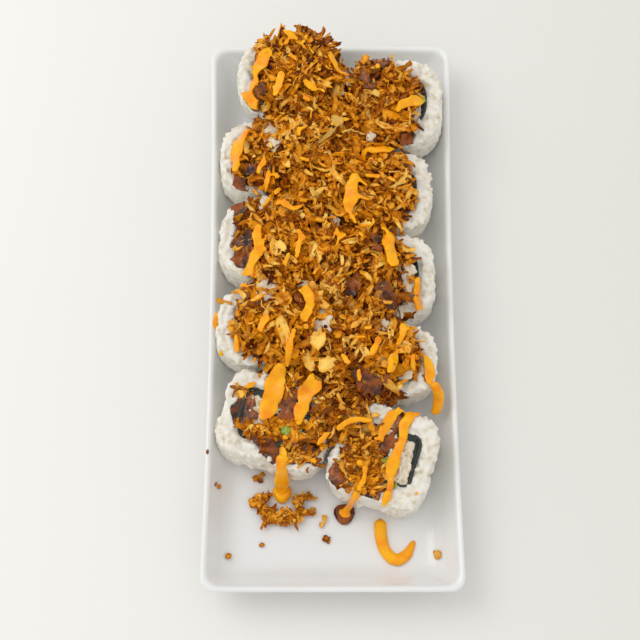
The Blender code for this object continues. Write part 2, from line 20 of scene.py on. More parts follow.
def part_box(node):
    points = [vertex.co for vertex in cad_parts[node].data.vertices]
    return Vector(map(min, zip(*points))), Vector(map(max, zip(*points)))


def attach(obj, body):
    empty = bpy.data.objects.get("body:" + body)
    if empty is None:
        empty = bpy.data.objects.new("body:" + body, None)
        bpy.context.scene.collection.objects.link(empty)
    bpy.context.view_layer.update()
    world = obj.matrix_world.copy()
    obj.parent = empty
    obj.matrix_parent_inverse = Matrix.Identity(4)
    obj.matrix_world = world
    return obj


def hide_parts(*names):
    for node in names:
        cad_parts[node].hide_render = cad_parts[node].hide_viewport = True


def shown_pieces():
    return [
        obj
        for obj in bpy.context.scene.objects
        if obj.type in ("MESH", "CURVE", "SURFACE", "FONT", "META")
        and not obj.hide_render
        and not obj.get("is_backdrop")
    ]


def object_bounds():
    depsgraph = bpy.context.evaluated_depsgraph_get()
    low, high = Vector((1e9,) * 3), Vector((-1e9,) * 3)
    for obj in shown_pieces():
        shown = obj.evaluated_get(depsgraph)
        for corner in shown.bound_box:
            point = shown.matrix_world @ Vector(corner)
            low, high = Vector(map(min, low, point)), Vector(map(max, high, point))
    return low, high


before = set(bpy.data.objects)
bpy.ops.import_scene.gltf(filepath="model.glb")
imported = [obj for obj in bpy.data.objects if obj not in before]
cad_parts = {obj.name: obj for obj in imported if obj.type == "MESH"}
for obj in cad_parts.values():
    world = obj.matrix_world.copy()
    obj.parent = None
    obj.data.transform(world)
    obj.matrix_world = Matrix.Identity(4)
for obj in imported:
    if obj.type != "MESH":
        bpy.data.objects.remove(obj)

CAD_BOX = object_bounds()
LOG = logging.getLogger("california_roll")
MM = 0.001
UP = Vector((0.0, 0.0, 1.0))
DOWN = Vector((0.0, 0.0, -1.0))
PLATE_TOP_AIR = 0.12
FLAKE_CREASE = 34.0
MARKS = ("edge", "tone", "mayo", "sauce")

Colour = tuple[float, float, float]
Looks = dict[str, bpy.types.Material]
Spot = tuple[float, float, float]
Route = tuple[float, tuple[tuple[float, ...], ...]]


# ---------------------------------------------------------------- bench


def rest() -> None:
    """Go to object mode with nothing selected."""
    if bpy.context.mode != "OBJECT":
        bpy.ops.object.mode_set(mode="OBJECT")
    bpy.ops.object.select_all(action="DESELECT")


def take(piece: bpy.types.Object) -> None:
    """Make a piece the only selected one and the active one.

    Args:
        piece: the object.
    """
    rest()
    piece.select_set(True)
    bpy.context.view_layer.objects.active = piece


def linked(name: str, data: bpy.types.ID) -> bpy.types.Object:
    """New object in the scene round some data.

    Args:
        name: the object's name.
        data: its mesh, camera or light data.

    Returns:
        The object.
    """
    made = bpy.data.objects.new(name, data)
    bpy.context.scene.collection.objects.link(made)
    return made


def finish_modifier(piece: bpy.types.Object, kind: str, **settings: object) -> None:
    """Add a modifier to a piece and apply it.

    Args:
        piece: the object that is shaped.
        kind: Blender's name of the modifier.
        settings: the modifier's own values.
    """
    take(piece)
    change = piece.modifiers.new(kind.lower(), kind)
    for key, value in settings.items():
        setattr(change, key, value)
    bpy.ops.object.modifier_apply(modifier=change.name)


def edit_all(piece: bpy.types.Object) -> None:
    """Open a piece in edit mode with all of it selected.

    Args:
        piece: the object.
    """
    take(piece)
    bpy.ops.object.mode_set(mode="EDIT")
    bpy.ops.mesh.select_all(action="SELECT")


def turn_outward(piece: bpy.types.Object) -> None:
    """Merge a piece's doubles and point its faces outwards.

    Args:
        piece: the object.
    """
    edit_all(piece)
    bpy.ops.mesh.remove_doubles(threshold=0.00001)
    bpy.ops.mesh.normals_make_consistent(inside=False)
    rest()


def shade(piece: bpy.types.Object, sharp: Optional[float] = None) -> None:
    """Shade a piece smooth, with edges over an angle in degrees kept sharp where one is given.

    Args:
        piece: the object.
        sharp: the angle in degrees, or None for smooth all over.
    """
    take(piece)
    if sharp is None:
        bpy.ops.object.shade_smooth()
    else:
        bpy.ops.object.shade_smooth_by_angle(angle=math.radians(sharp))
    rest()


def move_points(piece: bpy.types.Object, rule: Callable[[Vector], Vector]) -> None:
    """Move every point of a piece as a rule says.

    Args:
        piece: the object.
        rule: gives the new place of a point.
    """
    for vertex in piece.data.vertices:
        vertex.co = rule(vertex.co.copy())
    piece.data.update()


def gather(name: str, parts: Sequence[bpy.types.Object]) -> bpy.types.Object:
    """Join parts into one piece.

    Args:
        name: the piece's name.
        parts: the objects that become it.

    Returns:
        The joined piece, its place in its mesh.
    """
    rest()
    for part in parts:
        part.select_set(True)
    bpy.context.view_layer.objects.active = parts[0]
    if len(parts) > 1:
        bpy.ops.object.join()
    piece = bpy.context.view_layer.objects.active
    piece.name = name
    piece.data.name = name
    bpy.ops.object.transform_apply(location=True, rotation=True, scale=True)
    rest()
    return piece


def merged_copy(node: str, name: str) -> bpy.types.Object:
    """Copy of a CAD node's mesh as a new piece, its loose triangles merged.

    Args:
        node: name of the CAD node.
        name: the new piece's name.

    Returns:
        The piece, its place in its mesh.
    """
    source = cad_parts[node]
    piece = linked(name, source.data.copy())
    piece.data.materials.clear()
    piece.matrix_world = source.matrix_world.copy()
    take(piece)
    bpy.ops.object.transform_apply(location=True, rotation=True, scale=True)
    turn_outward(piece)
    return piece


def remesh(piece: bpy.types.Object, voxel: float, rounds: int) -> None:
    """Melt a piece's shells together.

    Args:
        piece: the piece.
        voxel: size of the finest detail kept, in mm.
        rounds: smoothing rounds after it.
    """
    finish_modifier(piece, "REMESH", mode="VOXEL", voxel_size=voxel * MM, use_smooth_shade=True)
    if rounds:
        finish_modifier(piece, "SMOOTH", factor=0.5, iterations=rounds)


def wobble(point: Vector, size: float, seed: float) -> float:
    """Smooth noise between -1 and 1 at a place, over lumps of a size in metres."""
    return noise.noise(point / size + Vector((seed * 7.3, seed * 3.1, seed * 1.7)))


class Surface:
    """What things are dropped on: the meshes of several objects seen from above."""

    def __init__(self, *pieces: bpy.types.Object) -> None:
        """Build the search tree of the pieces' own meshes.

        Args:
            pieces: the objects that things lie on.
        """
        verts: list[Vector] = []
        faces: list[tuple[int, ...]] = []
        for piece in pieces:
            start = len(verts)
            verts.extend(vertex.co.copy() for vertex in piece.data.vertices)
            faces.extend(tuple(start + i for i in polygon.vertices) for polygon in piece.data.polygons)
        self.tree = BVHTree.FromPolygons(verts, faces)

    def under(self, x: float, y: float, top: float = 0.08) -> tuple[Optional[Vector], Vector]:
        """Point and upward normal of the surface under a place, or None where there is nothing.

        Args:
            x: place across the plate, in metres.
            y: place along the plate, in metres.
            top: height that the look down starts at, in metres.

        Returns:
            The point, or None, and the normal.
        """
        spot, normal, _, _ = self.tree.ray_cast(Vector((x, y, top)), DOWN)
        if spot is None:
            return None, UP.copy()
        return spot, normal if normal.z > 0 else -normal

    def height(self, x: float, y: float, otherwise: float = 0.0) -> float:
        """Height of the surface under a place."""
        spot, _ = self.under(x, y)
        return otherwise if spot is None else spot.z


@dataclass
class Template:
    """One small shape that is repeated: points, faces and how near each point is to its edge."""

    verts: np.ndarray
    faces: list[tuple[int, ...]]
    edge: np.ndarray

    @classmethod
    def of(cls, piece: bpy.types.Object, edge: Optional[Sequence[float]] = None) -> "Template":
        """Take a modelled piece's mesh as a template and remove the piece.

        Args:
            piece: the modelled piece.
            edge: how near each point is to its edge, 0 to 1, or None for 0.

        Returns:
            The template.
        """
        verts = np.array([vertex.co[:] for vertex in piece.data.vertices])
        faces = [tuple(polygon.vertices) for polygon in piece.data.polygons]
        rim = np.zeros(len(verts)) if edge is None else np.array(edge)
        bpy.data.objects.remove(piece, do_unlink=True)
        return cls(verts, faces, rim)


def write_mark(piece: bpy.types.Object, key: str, values: np.ndarray) -> None:
    """Write one number for each point of a piece as an attribute."""
    piece.data.attributes.new(key, "FLOAT", "POINT").data.foreach_set("value", values.astype(np.float32))


@dataclass
class Swarm:
    """Many moved copies of templates, joined in one mesh."""

    name: str
    shapes: Sequence[Template]
    sharp: Optional[float] = None
    margin: float = 1.02
    verts: list[np.ndarray] = field(default_factory=list)
    faces: list[tuple[int, ...]] = field(default_factory=list)
    marks: dict[str, list[np.ndarray]] = field(default_factory=lambda: {key: [] for key in MARKS})
    count: int = 0

    def add(self, index: int, place: Matrix, tone: float = 0.5, mayo: float = 0.0, sauce: float = 0.0) -> None:
        """Add one copy.

        Args:
            index: which template.
            place: where it goes.
            tone: how light it is, 0 to 1.
            mayo: how much mayo is on it, 0 to 1.
            sauce: how much dark sauce is on it, 0 to 1.
        """
        shape = self.shapes[index % len(self.shapes)]
        turn = np.array(place.to_3x3())
        self.verts.append(shape.verts @ turn.T + np.array(place.translation))
        start = self.count
        self.faces.extend(tuple(start + i for i in face) for face in shape.faces)
        size = len(shape.verts)
        self.marks["edge"].append(shape.edge)
        for key, value in (("tone", tone), ("mayo", mayo), ("sauce", sauce)):
            self.marks[key].append(np.full(size, value))
        self.count += size

    def excess(self, index: int, place: Matrix) -> Vector:
        """How far a placed copy would stand out of the part's box.

        Args:
            index: which template.
            place: where it would go.

        Returns:
            The shift that has to be taken off.
        """
        shape = self.shapes[index % len(self.shapes)]
        points = shape.verts @ np.array(place.to_3x3()).T + np.array(place.translation)
        high, low = points.max(0) - np.array(CAD_BOX[1]), points.min(0) - np.array(CAD_BOX[0])
        return Vector(np.maximum(high, 0.0) + np.minimum(low, 0.0)) * self.margin

    def build(self) -> bpy.types.Object:
        """Joined piece with its marks as attributes.

        Returns:
            The piece.
        """
        mesh = bpy.data.meshes.new(self.name)
        mesh.from_pydata(np.concatenate(self.verts).tolist(), [], self.faces)
        mesh.update()
        piece = linked(self.name, mesh)
        for key, values in self.marks.items():
            write_mark(piece, key, np.concatenate(values))
        shade(piece, self.sharp)
        return piece


def placed(spot: Vector, normal: Vector, turn: float, size: Vector | float = 1.0) -> Matrix:
    """Placement at a spot, lying on a normal.

    Args:
        spot: where the middle goes.
        normal: which way its upper side faces.
        turn: turn about the normal, in radians.
        size: scale, one number or one for each axis.

    Returns:
        The placement.
    """
    lie = UP.rotation_difference(normal).to_matrix().to_4x4()
    scale = Matrix.Diagonal((*(size if isinstance(size, Vector) else (size, size, size)), 1.0))
    return Matrix.Translation(spot) @ lie @ Matrix.Rotation(turn, 4, "Z") @ scale


def scattered(draw: random.Random) -> Vector:
    """Random direction, drawn on each axis."""
    return Vector([draw.gauss(0, 1) for _ in range(3)])


def in_patch(draw: random.Random, x: float, y: float, half_x: float, half_y: float) -> tuple[float, float, float]:
    """Random place in an oval patch.

    Args:
        draw: where the numbers come from.
        x: the patch's middle across the plate.
        y: the patch's middle along the plate.
        half_x: its half width.
        half_y: its half length.

    Returns:
        The place's x and y, and how far out in the patch it is, 0 to 1.
    """
    angle, share = draw.uniform(0, math.tau), math.sqrt(draw.random())
    return x + math.cos(angle) * half_x * share, y + math.sin(angle) * half_y * share, share


def raise_ring(rise: float, before: tuple[float, float], after: tuple[float, float], level: float) -> None:
    """Extrude the selected faces upwards and bring them to a new size.

    Args:
        rise: how far up they go, in mm.
        before: half width and half length up to now, in mm.
        after: half width and half length from here on, in mm.
        level: height that they reach, in mm.
    """
    bpy.ops.mesh.extrude_region_move(TRANSFORM_OT_translate={"value": (0, 0, rise * MM)})
    bpy.ops.transform.resize(value=(after[0] / before[0], after[1] / before[1], 1.0),
                             center_override=(0, 0, level * MM))


def hand_over(piece: bpy.types.Object, look: bpy.types.Material, slot: Optional[str], *nodes: str) -> bpy.types.Object:
    """Dress a finished piece and hang it on the part.

    Args:
        piece: the finished piece.
        look: its material.
        slot: the record's material slot, where one fits; it is not used.
        nodes: CAD nodes that it stands for.

    Returns:
        The piece.
    """
    piece.data.materials.clear()
    piece.data.materials.append(look)
    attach(piece, "root")
    if nodes:
        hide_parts(*nodes)
    LOG.info("%s: %d faces", piece.name, len(piece.data.polygons))
    return piece


# ---------------------------------------------------------------- finishes


class Graph:
    """Material nodes of one finish, round one Principled shader."""

    def __init__(self, name: str) -> None:
        """Start an empty finish of a name.

        Args:
            name: the material's name.
        """
        self.look = bpy.data.materials.new(name)
        self.look.use_nodes = True
        self.tree = self.look.node_tree
        self.shader = self.tree.nodes["Principled BSDF"]
        self.coords = self.tree.nodes.new("ShaderNodeTexCoord").outputs["Object"]

    def node(self, kind: str, **sockets: object) -> bpy.types.Node:
        """New node; a socket's value is a number, colour or another socket.

        Args:
            kind: Blender's name of the node.
            sockets: its inputs by name.

        Returns:
            The node.
        """
        made = self.tree.nodes.new(kind)
        for key, value in sockets.items():
            self.feed(made.inputs[key.replace("_", " ").title()], value)
        return made

    def feed(self, socket: bpy.types.NodeSocket, value: object) -> None:
        """Set a socket or link another socket into it.

        Args:
            socket: the input.
            value: a number, a colour or another socket.
        """
        if isinstance(value, bpy.types.NodeSocket):
            self.tree.links.new(value, socket)
        else:
            socket.default_value = value

    def set(self, **sockets: object) -> None:
        """Set the shader's own sockets.

        Args:
            sockets: the shader's inputs by name.
        """
        for key, value in sockets.items():
            name = key.replace("_", " ").title().replace("Ior", "IOR")
            self.feed(self.shader.inputs[name], value)

    def speckle(self, size: float, detail: float = 2.0, rough: float = 0.5,
                stretch: Optional[Colour] = None) -> bpy.types.NodeSocket:
        """Noise of lumps.

        Args:
            size: the lumps' size, in mm.
            detail: how many finer layers it has.
            rough: how strong the finer layers are.
            stretch: scale on each axis, where it isn't even.

        Returns:
            The noise, 0 to 1.
        """
        vector: bpy.types.NodeSocket = self.coords
        if stretch:
            mapping = self.node("ShaderNodeMapping", vector=self.coords)
            mapping.inputs["Scale"].default_value = stretch
            vector = mapping.outputs["Vector"]
        made = self.node("ShaderNodeTexNoise", vector=vector, scale=1.0 / (size * MM), detail=detail, roughness=rough)
        return made.outputs["Fac"]

    def mark(self, name: str) -> bpy.types.NodeSocket:
        """A piece's own attribute.

        Args:
            name: the attribute's name.

        Returns:
            Its value.
        """
        made = self.tree.nodes.new("ShaderNodeAttribute")
        made.attribute_name = name
        return made.outputs["Fac"]

    def ramp(self, factor: bpy.types.NodeSocket, *stops: tuple[float, Colour]) -> bpy.types.NodeSocket:
        """Colour by a factor through stops.

        Args:
            factor: what picks the colour, 0 to 1.
            stops: places from 0 to 1 and their colours.

        Returns:
            The colour.
        """
        made = self.tree.nodes.new("ShaderNodeValToRGB")
        points = made.color_ramp.elements
        while len(points) < len(stops):
            points.new(0.5)
        for point, (place, colour) in zip(points, stops):
            point.position = place
            point.color = (*colour, 1.0)
        self.tree.links.new(factor, made.inputs["Fac"])
        return made.outputs["Color"]

    def mix(self, factor: object, first: object, second: object) -> bpy.types.NodeSocket:
        """Blend of two colours.

        Args:
            factor: share of the second, 0 to 1.
            first: a colour or a socket.
            second: a colour or a socket.

        Returns:
            The blend.
        """
        made = self.tree.nodes.new("ShaderNodeMix")
        made.data_type = "RGBA"
        self.feed(made.inputs[0], factor)
        self.feed(made.inputs[6], first if isinstance(first, bpy.types.NodeSocket) else (*first, 1.0))
        self.feed(made.inputs[7], second if isinstance(second, bpy.types.NodeSocket) else (*second, 1.0))
        return made.outputs[2]

    def sum(self, kind: str, first: object, second: object, clamp: bool = False) -> bpy.types.NodeSocket:
        """Arithmetic on two values.

        Args:
            kind: Blender's name of the operation.
            first: a number or a socket.
            second: a number or a socket.
            clamp: whether the result is held from 0 to 1.

        Returns:
            The result.
        """
        made = self.tree.nodes.new("ShaderNodeMath")
        made.operation = kind
        made.use_clamp = clamp
        self.feed(made.inputs[0], first)
        self.feed(made.inputs[1], second)
        return made.outputs[0]

    def span(self, factor: bpy.types.NodeSocket, low: float, high: float) -> bpy.types.NodeSocket:
        """A 0 to 1 factor brought to a range.

        Args:
            factor: a value from 0 to 1.
            low: what 0 becomes.
            high: what 1 becomes.

        Returns:
            The value in its range.
        """
        made = self.node("ShaderNodeMapRange", value=factor, from_min=0.0, from_max=1.0, to_min=low, to_max=high)
        return made.outputs["Result"]

    def relief(self, height: bpy.types.NodeSocket, depth: float, strength: float = 1.0) -> None:
        """Bump of a depth in mm over the shader.

        Args:
            height: the height, 0 to 1.
            depth: how deep it goes, in mm.
            strength: how much of it shows, 0 to 1.
        """
        made = self.node("ShaderNodeBump", height=height, distance=depth * MM, strength=strength)
        self.tree.links.new(made.outputs["Normal"], self.shader.inputs["Normal"])


@dataclass(frozen=True)
class Finish:
    """A finish of uneven colour, uneven sheen and a fine relief.

    The tint and the bumps are noises as Graph.speckle takes them: the lumps' size in mm, their finer layers, the
    strength of those and a scale on each axis. The sheen is a noise's size in mm, and the roughness at its two ends.
    """

    name: str
    tint: tuple[object, ...]
    tones: tuple[tuple[float, Colour], ...]
    sheen: tuple[float, float, float]
    bumps: tuple[object, ...]
    depth: float
    strength: float
    body: tuple[tuple[str, object], ...] = ()

    def make(self) -> bpy.types.Material:
        """Build the material.

        Returns:
            The material.
        """
        g = Graph(self.name)
        size, low, high = self.sheen
        g.set(base_color=g.ramp(g.speckle(*self.tint), *self.tones), roughness=g.span(g.speckle(size), low, high),
              **dict(self.body))
        g.relief(g.speckle(*self.bumps), self.depth, self.strength)
        return g.look


def filling(name: str, dark: Colour, light: Colour, roughness: float, fibre: Colour = (1.0, 1.0, 1.0)) -> Finish:
    """Finish of something cut across inside a slice.

    Args:
        name: the finish's name.
        dark: colour between its fibres.
        light: colour of its fibres.
        roughness: how rough it is in the middle.
        fibre: scale on each axis, low along the fibres.

    Returns:
        The finish.
    """
    strands = (1.4, 3.0, 0.6, fibre)
    return Finish(name, strands, ((0.35, dark), (0.65, light)), (3.0, roughness - 0.1, roughness + 0.1), strands,
                  0.25, 0.6, through(0.25, (1.0, 0.7, 0.4), 0.0015))


def through(weight: float, reds: Colour, scale: float) -> tuple[tuple[str, object], ...]:
    """Light that goes into a soft finish: its share, how far each colour goes, and the scale of that in metres."""
    return ("subsurface_weight", weight), ("subsurface_radius", reds), ("subsurface_scale", scale)


FINISHES = (
    Finish("porcelain", (40.0,), ((0.3, (0.79, 0.795, 0.795)), (0.7, (0.82, 0.825, 0.825))), (18.0, 0.16, 0.26),
           (30.0, 3.0), 0.25, 0.3, (("coat_weight", 0.25), ("coat_roughness", 0.12))),
    Finish("rice", (3.2, 3.0), ((0.30, (0.62, 0.55, 0.41)), (0.45, (0.77, 0.73, 0.63)), (0.62, (0.83, 0.81, 0.75))),
           (1.6, 0.28, 0.55), (1.1, 3.0), 0.16, 0.6, through(0.35, (1.0, 0.85, 0.65), 0.0022) + (("ior", 1.4),)),
    Finish("seaweed", (1.5, 4.0), ((0.35, (0.006, 0.008, 0.007)), (0.7, (0.022, 0.030, 0.020))), (2.5, 0.18, 0.42),
           (0.8, 4.0), 0.2, 0.7),
    filling("crab", (0.66, 0.54, 0.38), (0.80, 0.73, 0.60), 0.34, (1.0, 0.25, 1.0)),
    filling("cucumber", (0.15, 0.27, 0.012), (0.38, 0.46, 0.05), 0.3),
    filling("avocado", (0.42, 0.50, 0.10), (0.66, 0.66, 0.26), 0.4),
    # painted shade: the heap's core runs from near black to brown, standing in for the shade deep in the gaps between
    # the flakes
    Finish("heap_depths", (3.4, 4.0, 0.65),
           ((0.32, (0.022, 0.003, 0.0)), (0.52, (0.14, 0.028, 0.0)), (0.72, (0.42, 0.13, 0.002))), (5.0, 0.14, 0.5),
           (1.6, 4.0, 0.6), 0.9, 0.8, (("specular_ior_level", 0.25),)),
    Finish("mayo", (6.0, 2.0), ((0.3, (0.93, 0.29, 0.0)), (0.62, (1.0, 0.46, 0.002))), (4.0, 0.2, 0.34),
           (2.6, 2.0), 0.18, 0.5, through(0.2, (1.0, 0.5, 0.1), 0.0012) + (("specular_ior_level", 0.3),)),
    Finish("dark_sauce", (5.0, 3.0), ((0.36, (0.022, 0.004, 0.0)), (0.62, (0.3, 0.068, 0.0))), (6.0, 0.04, 0.1),
           (2.4, 2.0), 0.7, 0.9, (("specular_ior_level", 0.42),)),
)


@dataclass(frozen=True)
class FriedOnion:
    """Crisp fried onion, browner at its edges, with sauce and mayo on some of it, and with painted shade deep in the
    heap and painted light on its top.
    """

    # darkest stop: burnt onion, and painted shade deep in the heap
    burnt_and_shaded: Colour = (0.09, 0.014, 0.0)
    brown: Colour = (0.45, 0.120, 0.001)
    gold: Colour = (0.87, 0.355, 0.008)
    pale: Colour = (1.0, 0.66, 0.15)
    mayo: Colour = (0.97, 0.40, 0.004)
    sauce: Colour = (0.17, 0.030, 0.002)

    def make(self) -> bpy.types.Material:
        """Material of every onion piece.

        Returns:
            The material.
        """
        g = Graph("fried_onion")
        patch = g.span(g.speckle(2.2, 3.0, 0.6), -0.32, 0.32)
        # the lightness mark is each flake's own colour, and in the heap also painted shade near its core and painted
        # light on its top
        level = g.sum("ADD", g.mark("tone"), patch)
        rim = g.sum("MULTIPLY", g.mark("edge"), 0.24)
        level = g.sum("SUBTRACT", level, rim, clamp=True)
        crisp = g.ramp(level, (0.02, self.burnt_and_shaded), (0.28, self.brown), (0.58, self.gold), (0.95, self.pale))
        blot = g.speckle(3.0, 2.0)
        wet = g.sum("MULTIPLY", g.mark("sauce"), g.span(blot, 0.4, 1.5), clamp=True)
        creamy = g.sum("MULTIPLY", g.mark("mayo"), g.span(blot, 0.3, 1.6), clamp=True)
        tint = g.mix(creamy, g.mix(wet, crisp, self.sauce), self.mayo)
        shine = g.sum("SUBTRACT", 0.48, g.sum("MULTIPLY", g.sum("MAXIMUM", wet, creamy), 0.26))
        g.set(base_color=tint, roughness=shine, subsurface_weight=0.12, subsurface_radius=(1.0, 0.45, 0.12),
              subsurface_scale=0.0008, specular_ior_level=0.16)
        g.relief(g.speckle(0.7, 3.0, 0.6), 0.14, 0.7)
        return g.look


@dataclass(frozen=True)
class PaleFloor:
    """Plain pale studio floor, its colour a little darker to the right as painted shade, away from the key light on the
    left.
    """

    shade: Colour = (0.745, 0.73, 0.69)
    light: Colour = (0.875, 0.875, 0.855)

    def make(self) -> bpy.types.Material:
        """Material of the floor.

        Returns:
            The material.
        """
        g = Graph("pale_floor")
        across = g.node("ShaderNodeSeparateXYZ", vector=g.coords).outputs["X"]
        # painted shade: the colour darkens along x towards the right, where the key light falls off
        level = g.sum("ADD", g.sum("MULTIPLY", across, -2.2), g.span(g.speckle(400.0), 0.42, 0.62), clamp=True)
        g.set(base_color=g.ramp(level, (0.0, self.shade), (1.0, self.light)), roughness=0.7, specular_ior_level=0.2)
        return g.look


# ---------------------------------------------------------------- studio


@dataclass(frozen=True)
class Studio:
    """Camera at the picture's angle, soft light from the left and a pale floor."""

    eye: tuple[float, float, float] = (-8.716, -239.764, 699.911)
    pitch: float = 18.822
    roll: float = 0.805
    heading: float = -0.872
    lens: float = 90.0
    sensor: float = 36.0
    nearest: float = 20.0
    key_place: tuple[float, float, float] = (-800.0, 350.0, 1250.0)
    key_size: float = 1.1
    key_power: float = 6.0
    key_colour: Colour = (1.0, 0.985, 0.96)
    sky: float = 0.86
    sky_colour: Colour = (1.0, 0.995, 0.98)
    floor_size: float = 4.0
    floor_drop: float = 0.2

    def build(self) -> None:
        """Set up camera, light, sky and floor."""
        self._camera()
        self._key_light()
        self._sky()
        self._floor()

    def _camera(self) -> None:
        """Camera at the place solved from the plate's corners."""
        camera = linked("camera", bpy.data.cameras.new("camera"))
        camera.data.lens = self.lens
        camera.data.sensor_width = self.sensor
        camera.data.clip_start = self.nearest * MM
        turn = (Matrix.Rotation(math.radians(self.heading), 4, "Z") @ Matrix.Rotation(math.radians(self.pitch), 4, "X")
                @ Matrix.Rotation(math.radians(self.roll), 4, "Z"))
        camera.matrix_world = Matrix.Translation(Vector(self.eye) * MM) @ turn
        bpy.context.scene.camera = camera

    def _key_light(self) -> None:
        """Broad soft light from the left."""
        key = linked("key_light", bpy.data.lights.new("key_light", "AREA"))
        key.data.shape = "DISK"
        key.data.size = self.key_size
        key.data.energy = self.key_power
        key.data.color = self.key_colour
        place = Vector(self.key_place) * MM
        key.matrix_world = Matrix.Translation(place) @ (-place).to_track_quat("-Z", "Y").to_matrix().to_4x4()

    def _sky(self) -> None:
        """Even pale light from all round, and plain colour management."""
        world = bpy.data.worlds.new("studio")
        bpy.context.scene.world = world
        world.use_nodes = True
        background = world.node_tree.nodes["Background"]
        background.inputs["Color"].default_value = (*self.sky_colour, 1.0)
        background.inputs["Strength"].default_value = self.sky
        bpy.context.scene.view_settings.view_transform = "Standard"

    def _floor(self) -> None:
        """Pale floor a hair under the plate."""
        rest()
        bpy.ops.mesh.primitive_plane_add(size=self.floor_size, location=(0.0, 0.0, -self.floor_drop * MM))
        floor = bpy.context.object
        floor.name = "floor"
        floor.data.materials.append(PaleFloor().make())
        floor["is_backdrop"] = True


# ---------------------------------------------------------------- plate


@dataclass(frozen=True)
class Plate:
    """Long plate with a soft rolled lip, hollow-curved walls, a flat well and a foot ring.

    The sections go from the rim's outer edge: inward step and height in mm. The cuts are an axis, and how many cuts
    the edges along it get so that they can bow. Only edges over the straight length are cut, and not a corner's.
    """

    width: float = 114.0
    length: float = 260.0
    corner: float = 6.5
    corner_segments: int = 8
    cuts: tuple[tuple[int, int], ...] = ((1, 15), (0, 7))
    straight: float = 40.0
    bow: float = 2.0
    bow_ease: float = 45.0
    rim: float = 18.8
    inner: tuple[tuple[float, float], ...] = (
        (0.25, 19.5), (0.8, 19.95), (1.5, 19.95), (2.3, 19.6), (2.9, 18.8), (3.4, 17.7), (4.3, 15.8), (5.45, 13.87),
        (6.8, 11.95), (8.0, 10.4), (9.5, 8.95), (11.0, 7.78), (12.6, 6.86), (14.45, 6.33), (16.4, 6.07), (18.2, 6.0),
        (21.0, 6.0))
    under: tuple[tuple[float, float], ...] = (
        (0.25, 18.1), (1.0, 17.2), (3.0, 13.3), (7.0, 8.0), (13.0, 3.4), (19.4, 1.7), (20.2, 0.5), (21.0, 0.02),
        (24.8, 0.02), (25.5, 0.5), (26.0, 1.5), (29.0, 1.5))

    def _rings(self, sections: Sequence[tuple[float, float]]) -> None:
        """Extrude the selected face inwards ring by ring, each ring scaled to its own inset.

        Args:
            sections: inward step and height of each ring, in mm.
        """
        inset, height = 0.0, self.rim
        for step, level in sections:
            before = (self.width / 2 - inset, self.length / 2 - inset)
            after = (self.width / 2 - step, self.length / 2 - step)
            raise_ring(level - height, before, after, level)
            inset, height = step, level

    def build(self, look: bpy.types.Material) -> bpy.types.Object:
        """Model the plate from a rounded plane.

        Args:
            look: the porcelain material.

        Returns:
            The finished plate.
        """
        halves = []
        for sections in (self.inner, self.under):
            rest()
            bpy.ops.mesh.primitive_plane_add(size=1.0, location=(0, 0, self.rim * MM))
            half = bpy.context.object
            bpy.ops.object.transform_apply(location=True)
            edit_all(half)
            bpy.ops.transform.resize(value=(self.width * MM, self.length * MM, 1.0),
                                     center_override=(0, 0, self.rim * MM))
            bpy.ops.mesh.bevel(offset=self.corner * MM, segments=self.corner_segments, affect="VERTICES")
            rest()
            self._cut_long_sides(half)
            take(half)
            bpy.ops.object.mode_set(mode="EDIT")
            bpy.ops.mesh.select_mode(type="FACE")
            bpy.ops.mesh.select_all(action="SELECT")
            self._rings(sections)
            rest()
            halves.append(half)
        plate = gather("plate_porcelain", halves)
        self._drop_inner_faces(plate)
        turn_outward(plate)
        move_points(plate, self._bowed)
        finish_modifier(plate, "SUBSURF", levels=1, render_levels=1)
        low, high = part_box("plate")
        move_points(plate, lambda p: Vector(tuple(min(max(c, a), b) for c, a, b in zip(p, low, high))))
        shade(plate)
        return hand_over(plate, look, "porcelain", "plate")

    def _cut_long_sides(self, half: bpy.types.Object) -> None:
        """Cut the two long and two short edges so that they can bow.

        Args:
            half: upper or lower half of the plate, still flat.
        """
        for along, cuts in self.cuts:
            take(half)
            for polygon in half.data.polygons:
                polygon.select = False
            for vertex in half.data.vertices:
                vertex.select = False
            points = half.data.vertices
            for edge in half.data.edges:
                first, second = (points[i].co for i in edge.vertices)
                edge.select = abs(first[along] - second[along]) > self.straight * MM
            bpy.ops.object.mode_set(mode="EDIT")
            bpy.ops.mesh.select_mode(type="EDGE")
            bpy.ops.mesh.subdivide(number_cuts=cuts)
            rest()

    def _drop_inner_faces(self, plate: bpy.types.Object) -> None:
        """Drop the two faces left between the halves at the rim's level.

        Args:
            plate: the joined halves.
        """
        take(plate)
        for polygon in plate.data.polygons:
            polygon.select = all(abs(plate.data.vertices[i].co.z - self.rim * MM) < 1e-6 for i in polygon.vertices)
        bpy.ops.object.mode_set(mode="EDIT")
        bpy.ops.mesh.select_mode(type="FACE")
        bpy.ops.mesh.delete(type="FACE")
        rest()

    def _bowed(self, point: Vector) -> Vector:
        """Draw the long sides in a little at their middle.

        Args:
            point: a point of the plate, in metres.

        Returns:
            Its new place.
        """
        reach = 1.0 - (point.y / (self.length / 2 * MM)) ** 2
        point.x -= self.bow * MM * reach * max(-1.0, min(1.0, point.x / (self.bow_ease * MM)))
        return point


# ---------------------------------------------------------------- slices


